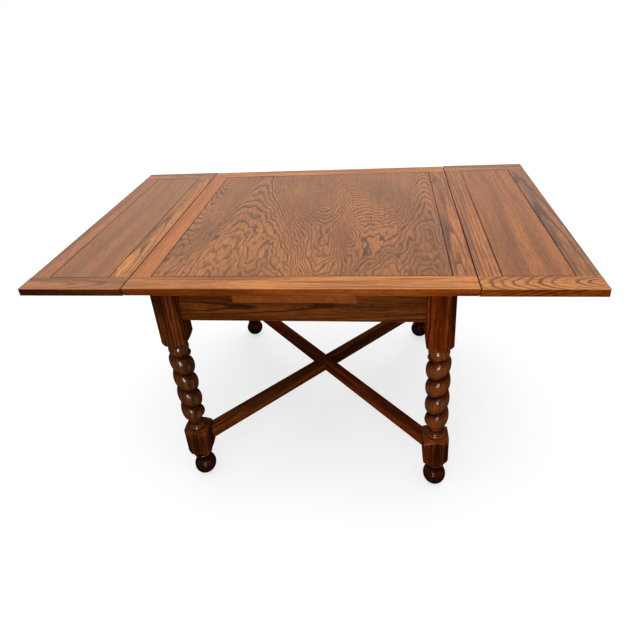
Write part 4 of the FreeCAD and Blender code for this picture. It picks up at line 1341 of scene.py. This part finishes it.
@dataclass
class UnderFrame:
    """Legs, rails and stretchers of the fixed frame, in millimetres."""

    axis: float = 375.0
    rail_inner: float = 337.0
    rail_faces: Flat = (364.0, 386.0)
    rail_heights: Flat = (615.0, 718.0)
    rail_round: float = 1.6
    rail_soft: float = 0.5
    stretcher_half: float = 489.33
    stretcher_heights: Flat = (122.0, 172.0)
    stretcher_thick: float = 24.0
    stretcher_round: float = 1.8
    stretcher_soft: float = 0.4
    clear: float = 5.0

    def build(self) -> None:
        """Makes every piece of the frame that shows."""
        self.legs()
        self.rails()
        self.stretchers()

    def legs(self) -> None:
        """Four legs, twisted in mirrored pairs."""
        for index, (side, x) in enumerate(SIDES.items()):
            for end, y in ENDS.items():
                name = "leg_%s_%s" % (end, side)
                finish = replace(
                    LEG_OAK, name=name + "_oak", palette=RUDDY if x * y < 0 else DARK,
                    origin=(x * 0.375, y * 0.375, 0.3 + 0.1 * index), heart=(0.06 * x, 0.075 * y),
                )
                TwistLeg(name, (x * self.axis, y * self.axis), (x, y), finish).build()

    def rails(self) -> None:
        """Front and back rails with softened lower edges."""
        low, high = self.rail_heights
        for (end, sign), grain in zip(ENDS.items(), (Grain.FRONT_FACE, Grain.BACK_FACE)):
            name = end + "_rail"
            near, far = sorted(sign * face for face in self.rail_faces)
            shape = block((-self.rail_inner, near, low), (self.rail_inner, far, high))
            ease(shape, self.rail_round, lambda spot: spot.z < low + NEAR)
            ease(shape, self.rail_soft, segments=2)
            finish = replace(
                RAIL_OAK, name=name + "_oak", grain=grain, origin=(0.04, sign * 0.386, 0.66),
                heart=(0.004, -0.03),
            )
            settle(shape, name + "_board", finish, "frame", name)

    def stretchers(self) -> None:
        """Two diagonal bars halved where they cross."""
        low, high = self.stretcher_heights
        half = self.stretcher_thick / 2
        middle = (low + high) / 2
        reach = self.stretcher_half
        arm = (half + self.clear, reach - self.clear)
        upper = [
            (-reach, low), (-half, low), (-half, middle), (half, middle), (half, low), (reach, low),
            (reach, high), (-reach, high),
        ]
        lower = [
            (-reach, low), (reach, low), (reach, high), (half, high), (half, middle), (-half, middle),
            (-half, high), (-reach, high),
        ]
        for name, outline, turn, grain, palette in (
            ("stretcher_upper", upper, 135.0, Grain.FALLING, RUDDY),
            ("stretcher_lower", lower, 45.0, Grain.RISING, DARK),
        ):
            shape = prism(outline, Plane.XZ, -half, half)
            ease(shape, self.stretcher_round, lambda spot: arm[0] < abs(spot.x) < arm[1])
            ease(shape, self.stretcher_soft, segments=2)
            turned = Matrix.Rotation(math.radians(turn), 3, "Z")
            bmesh.ops.rotate(shape, cent=(0.0, 0.0, 0.0), matrix=turned, verts=shape.verts)
            finish = replace(STRETCHER_OAK, name=name + "_oak", palette=palette, grain=grain)
            settle(shape, name + "_bar", finish, "frame", name)


@dataclass
class FramedBoard:
    """Flat board of two rails, two stiles and a panel with an open line round it, in millimetres.

    An end with a foot meets a neighbour, and its lower edge stands that far inside its upper edge.
    """

    body: str
    x: Flat
    y: Flat
    z: Flat
    rail: float
    stile: float
    stiles: tuple[str, str]
    feet: Flat
    nose: float = 6.5
    line: float = 1.6
    ledge: float = 13.0
    corner_round: float = 4.0
    top_round: float = 1.7
    seam_round: float = 0.9
    under_round: float = 1.0
    joint_round: float = 0.8
    panel_round: float = 1.0
    near_end: float = 8.0

    def build(self) -> None:
        """Makes the rails, the stiles and the panel."""
        inner_x = (self.x[0] + self.stile, self.x[1] - self.stile)
        inner_y = (self.y[0] + self.rail, self.y[1] - self.rail)
        self.member("front_rail", self.x, (self.y[0], inner_y[0]))
        self.member("back_rail", self.x, (inner_y[1], self.y[1]))
        spans = ((self.x[0], inner_x[0]), (inner_x[1], self.x[1]))
        for part, x in sorted(zip(self.stiles, spans)):
            self.member(part, x, inner_y)
        self.panel(inner_x, inner_y)

    def finish(self, node: str, kind: str, x: Flat, y: Flat) -> OakFinish:
        """Finish of one of the boards, laid out from the middle of its upper face.

        Args:
            node: Solid that the board stands for.
            kind: Ending of the finish's name.
            x: Ends in x.
            y: Ends in y.

        Returns:
            The finish.
        """
        look = BOARDS[node]
        middle = (sum(x) / 2 * MM, sum(y) / 2 * MM, self.z[1] * MM)
        origin = tuple(start + step for start, step in zip(middle, look.origin))
        return replace(look, name=node + kind, origin=origin)

    def on_outline(self, spot: Vector) -> bool:
        """Whether an edge's middle lies on the board's own outline."""
        near_x = min(abs(spot.x - end) for end in self.x) < self.near_end
        return near_x or min(abs(spot.y - end) for end in self.y) < NEAR

    def at_meeting(self, spot: Vector) -> bool:
        """Whether an edge's middle lies where the board meets its neighbour."""
        return any(foot and abs(spot.x - end) < self.near_end for end, foot in zip(self.x, self.feet))

    def at_corner(self, spot: Vector) -> bool:
        """Whether an edge's middle lies on an upright corner of the board."""
        near_x = min(abs(spot.x - end) for end in self.x) < NEAR
        return near_x and min(abs(spot.y - end) for end in self.y) < NEAR

    def on_top(self, spot: Vector) -> bool:
        """Whether an edge's middle lies at the upper face."""
        return abs(spot.z - self.z[1]) < NEAR

    def profile(self, low: float, high: float) -> list[Flat]:
        """Outline of a member, with a foot and a nose where the board meets its neighbour.

        Args:
            low: Lower end in x.
            high: Higher end in x.

        Returns:
            Corners in x and z.
        """
        under, top = self.z
        low_foot = self.feet[0] if abs(low - self.x[0]) < NEAR else 0.0
        high_foot = self.feet[1] if abs(high - self.x[1]) < NEAR else 0.0
        corners = [(low + low_foot, under), (high - high_foot, under)]
        if high_foot:
            corners.append((high, top - self.nose))
        corners += [(high, top), (low, top)]
        if low_foot:
            corners.append((low, top - self.nose))
        return corners

    def member(self, part: str, x: Flat, y: Flat) -> None:
        """Makes one rail or stile.

        Args:
            part: What it is in the board.
            x: Ends in x.
            y: Ends in y.
        """
        node = "%s_%s" % (self.body, part)
        on_top, on_outline, meeting = self.on_top, self.on_outline, self.at_meeting
        shape = prism(self.profile(*x), Plane.XZ, *y)
        for width, chosen, segments, paint in (
            (self.corner_round, lambda at: self.at_corner(at) and not meeting(at), 4, ARRIS),
            (self.top_round, lambda at: on_top(at) and on_outline(at) and not meeting(at), 3, ARRIS),
            (self.seam_round, lambda at: on_top(at) and meeting(at), 2, ARRIS),
            (self.under_round, lambda at: on_outline(at) and not on_top(at) and not meeting(at), 2, ARRIS),
            (self.joint_round, lambda at: on_top(at) and not on_outline(at), 2, GRIME_AND_SHADE),
        ):
            ease(shape, width, chosen, segments, paint)
        paint_polish_and_shade(shape)
        settle(shape, node + "_board", self.finish(node, "_oak", x, y), self.body, node)

    def panel(self, x: Flat, y: Flat) -> None:
        """Makes the panel, stepped in round its upper face.

        Args:
            x: Ends of the opening in x.
            y: Ends of the opening in y.
        """
        node = self.body + "_panel"
        under, top = self.z
        ledge = under + self.ledge
        shape = block((x[0], y[0], under), (x[1], y[1], ledge))
        upper = max(shape.faces, key=lambda face: face.calc_center_median().z)
        bmesh.ops.inset_region(shape, faces=[upper], thickness=self.line * MM, use_even_offset=True)
        draw_out(shape, upper, Vector((0.0, 0.0, top - ledge)))
        bmesh.ops.delete(shape, geom=[upper], context="FACES_ONLY")
        bmesh.ops.recalc_face_normals(shape, faces=shape.faces)
        ease(shape, self.panel_round, self.on_top, 2, GRIME_AND_SHADE)
        paint_polish_and_shade(shape)
        settle(shape, node + "_face", self.finish(node, "_veneer", x, y), self.body, node)


@dataclass
class LooseTop:
    """The lifting top, in millimetres."""

    half_length: float = 457.5
    half_depth: float = 449.0
    heights: Flat = (739.0, 760.0)
    rail: float = 61.0
    clamp: float = 57.0
    undercut: float = 4.6

    def build(self) -> None:
        """Makes the framed board and finishes the guide pegs."""
        FramedBoard(
            "top", (-self.half_length, self.half_length), (-self.half_depth, self.half_depth), self.heights,
            self.rail, self.clamp, ("left_clamp", "right_clamp"), (self.undercut, self.undercut),
        ).build()
        for end in ENDS:
            dress_node("guide_peg_" + end, replace(HIDDEN_OAK, name="guide_peg_oak"))


@dataclass
class Leaf:
    """One draw leaf with its bearers, stops and screws, in millimetres."""

    side: str
    inner: float = 460.5
    outer: float = 751.5
    half_depth: float = 452.0
    heights: Flat = (740.0, 760.0)
    rail: float = 61.0
    stile: float = 58.0
    lip: float = 5.8

    def build(self) -> None:
        """Makes the leaf's framed board and finishes what hangs below it."""
        x, stiles, feet = (self.inner, self.outer), ("inner_stile", "outer_stile"), (-self.lip, 0.0)
        if self.side == "left":
            x, stiles, feet = (-self.outer, -self.inner), stiles[::-1], feet[::-1]
        FramedBoard(
            self.side + "_leaf", x, (-self.half_depth, self.half_depth), self.heights, self.rail, self.stile,
            stiles, feet,
        ).build()
        self.below()

    def below(self) -> None:
        """Finishes the bearers, stops and screws."""
        oak = replace(
            HIDDEN_OAK, name=self.side + "_bearer_oak", grain=Grain.FRONT_FACE,
            origin=(SIDES[self.side] * 0.3, 0.0, 0.7), heart=(0.02, -0.3), spacing=0.006,
        )
        for end in ENDS:
            dress_node("%s_bearer_%s" % (self.side, end), oak)
            dress_node("%s_stop_%s" % (self.side, end), oak)
            for place in ("inner", "outer"):
                dress_node("%s_bearer_screw_%s_%s" % (self.side, end, place), SteelFinish())


@dataclass
class FixedWork:
    """Solids of the frame whose own shape is right."""

    def build(self) -> None:
        """Finishes the centre board, end rails, cross rail and board screws."""
        # Darker colours, partly painted shade for the front edge under the top.
        dress_node("centre_board", OakFinish(
            "centre_board_oak", "frame_oak", SHADED_CHESTNUT, Grain.ALONG_Y, origin=(0.0, 0.0, 0.73),
            heart=(0.03, -0.08), taper=0.02, spacing=0.008, contrast=0.8,
        ))
        for side, sign in SIDES.items():
            dress_node(side + "_end_rail", replace(
                RAIL_OAK, name=side + "_end_rail_oak", origin=(sign * 0.386, 0.0, 0.66),
                heart=(0.03, -0.03 * sign),
            ))
            for end in ENDS:
                dress_node("board_screw_%s_%s" % (end, side), SteelFinish())
        dress_node("centre_cross_rail", replace(
            HIDDEN_OAK, name="cross_rail_oak", grain=Grain.ALONG_Y, origin=(0.0, 0.0, 0.64),
            heart=(0.03, -0.05),
        ))


@dataclass(frozen=True)
class Lamp:
    """Flat light that looks level along the table's depth."""

    name: str
    place: Point
    size: Flat
    watts: float
    mirrored: bool

    def build(self) -> None:
        """Hangs the lamp, either for the polish to mirror or to light the wood."""
        data = bpy.data.lights.new(self.name, "AREA")
        data.shape = "RECTANGLE"
        data.size, data.size_y = self.size
        data.energy = self.watts
        lamp = put(self.name, data)
        lamp.location = self.place
        lamp.rotation_euler = (math.pi / 2, 0.0, 0.0)
        lamp.visible_diffuse = not self.mirrored
        lamp.visible_glossy = self.mirrored
        lamp.visible_camera = False


@dataclass
class Studio:
    """Camera, pale floor and soft light."""

    sensor: float = 36.0
    lens: float = 28.93
    shift: Flat = (0.0012, -0.1296)
    clip: Flat = (0.05, 200.0)
    place: Point = (0.2346, -1.5263, 1.4427)
    right: Point = (0.99154, 0.10981, -0.06921)
    down: Point = (-0.01271, -0.44852, -0.89368)
    forward: Point = (-0.12917, 0.887, -0.44333)
    floor_radius: float = 30.0
    floor_sides: int = 96
    floor_glow: float = 0.68
    floor_pale: Colour = (0.42, 0.42, 0.42)
    floor_bounce: Colour = (0.16, 0.15, 0.14)
    overhead: float = 1.85
    behind: float = 0.8
    ambient: float = 0.04

    def build(self) -> None:
        """Sets up everything that isn't part of the table."""
        self.camera()
        self.floor()
        self.dome()
        self.lamps()
        bpy.context.scene.view_settings.view_transform = "Standard"

    def camera(self) -> None:
        """Camera at the photograph's angle."""
        data = bpy.data.cameras.new("camera")
        data.sensor_fit = "HORIZONTAL"
        data.sensor_width = self.sensor
        data.lens = self.lens
        data.shift_x, data.shift_y = self.shift
        data.clip_start, data.clip_end = self.clip
        camera = put("camera", data)
        turned = Matrix((Vector(self.right), -Vector(self.down), -Vector(self.forward))).transposed()
        turned = turned.to_quaternion().to_matrix().to_4x4()
        camera.matrix_world = Matrix.Translation(self.place) @ turned
        bpy.context.scene.camera = camera

    def floor(self) -> None:
        """White floor that keeps the table's shadow."""
        shape = bmesh.new()
        bmesh.ops.create_circle(shape, cap_ends=True, segments=self.floor_sides, radius=self.floor_radius)
        floor = put("floor", as_mesh(shape, "floor"))
        made = bpy.data.materials.new("pale_floor")
        made.use_nodes = True
        made.node_tree.nodes.clear()
        bench = NodeBench(made.node_tree)
        glow = bench.wired("ShaderNodeEmission", {"Strength": self.floor_glow})[0]
        pale = bench.wired("ShaderNodeBsdfDiffuse", {"Color": self.floor_pale})[0]
        shown = bench.wired("ShaderNodeAddShader", {0: glow, 1: pale})[0]
        unseen = bench.wired("ShaderNodeBsdfDiffuse", {"Color": self.floor_bounce})[0]
        self.choose(bench, unseen, shown, "ShaderNodeOutputMaterial")
        floor.data.materials.append(made)

    def choose(self, bench: NodeBench, unseen: Socket, seen: Socket, output: str) -> None:
        """Ends a tree with one surface for the rays that show the background and another for the light.

        Args:
            bench: Bench on the tree.
            unseen: Surface that lights the table.
            seen: Surface that the camera and the polish see.
            output: Type of the tree's last node.
        """
        path = bench.add("ShaderNodeLightPath").outputs
        mirrored = bench.math("MAXIMUM", path["Is Glossy Ray"], path["Is Transmission Ray"])
        shows = bench.math("MAXIMUM", path["Is Camera Ray"], mirrored)
        choice = bench.wired("ShaderNodeMixShader", {0: shows, 1: unseen, 2: seen})[0]
        bench.wired(output, {"Surface": choice})

    def dome(self) -> None:
        """Soft sky, bright overhead and behind the table, with a white backdrop."""
        world = bpy.data.worlds.new("studio")
        world.use_nodes = True
        bpy.context.scene.world = world
        world.node_tree.nodes.clear()
        bench = NodeBench(world.node_tree)
        _, back, up = bench.axes(bench.add("ShaderNodeTexCoord").outputs["Generated"])
        level = bench.weighted(
            (bench.span(up, 0.45, 1.0), self.overhead), (bench.span(back, 0.15, 0.95), self.behind),
            (1.0, self.ambient),
        )
        light = bench.wired("ShaderNodeBackground", {"Color": WHITE, "Strength": level})[0]
        white = bench.wired("ShaderNodeBackground", {"Color": WHITE})[0]
        self.choose(bench, light, white, "ShaderNodeOutputWorld")

    def lamps(self) -> None:
        """Soft light low below the camera and two panes, under the top's height, that only polish mirrors."""
        for lamp in (
            Lamp("low_fill", (0.0, -1.5, 0.5), (0.5, 0.8), 5.2, False),
            Lamp("left_pane", (-0.1, -1.8, 0.37), (0.15, 0.7), 110.0, True),
            Lamp("right_pane", (0.14, -1.8, 0.37), (0.15, 0.7), 110.0, True),
        ):
            lamp.build()


def main() -> None:
    """Builds the table's looks, then the studio."""
    logging.basicConfig(level=logging.INFO, format="%(name)s: %(message)s")
    UnderFrame().build()
    LooseTop().build()
    for side in SIDES:
        Leaf(side).build()
    FixedWork().build()
    Studio().build()


if __name__ == "__main__":
    main()
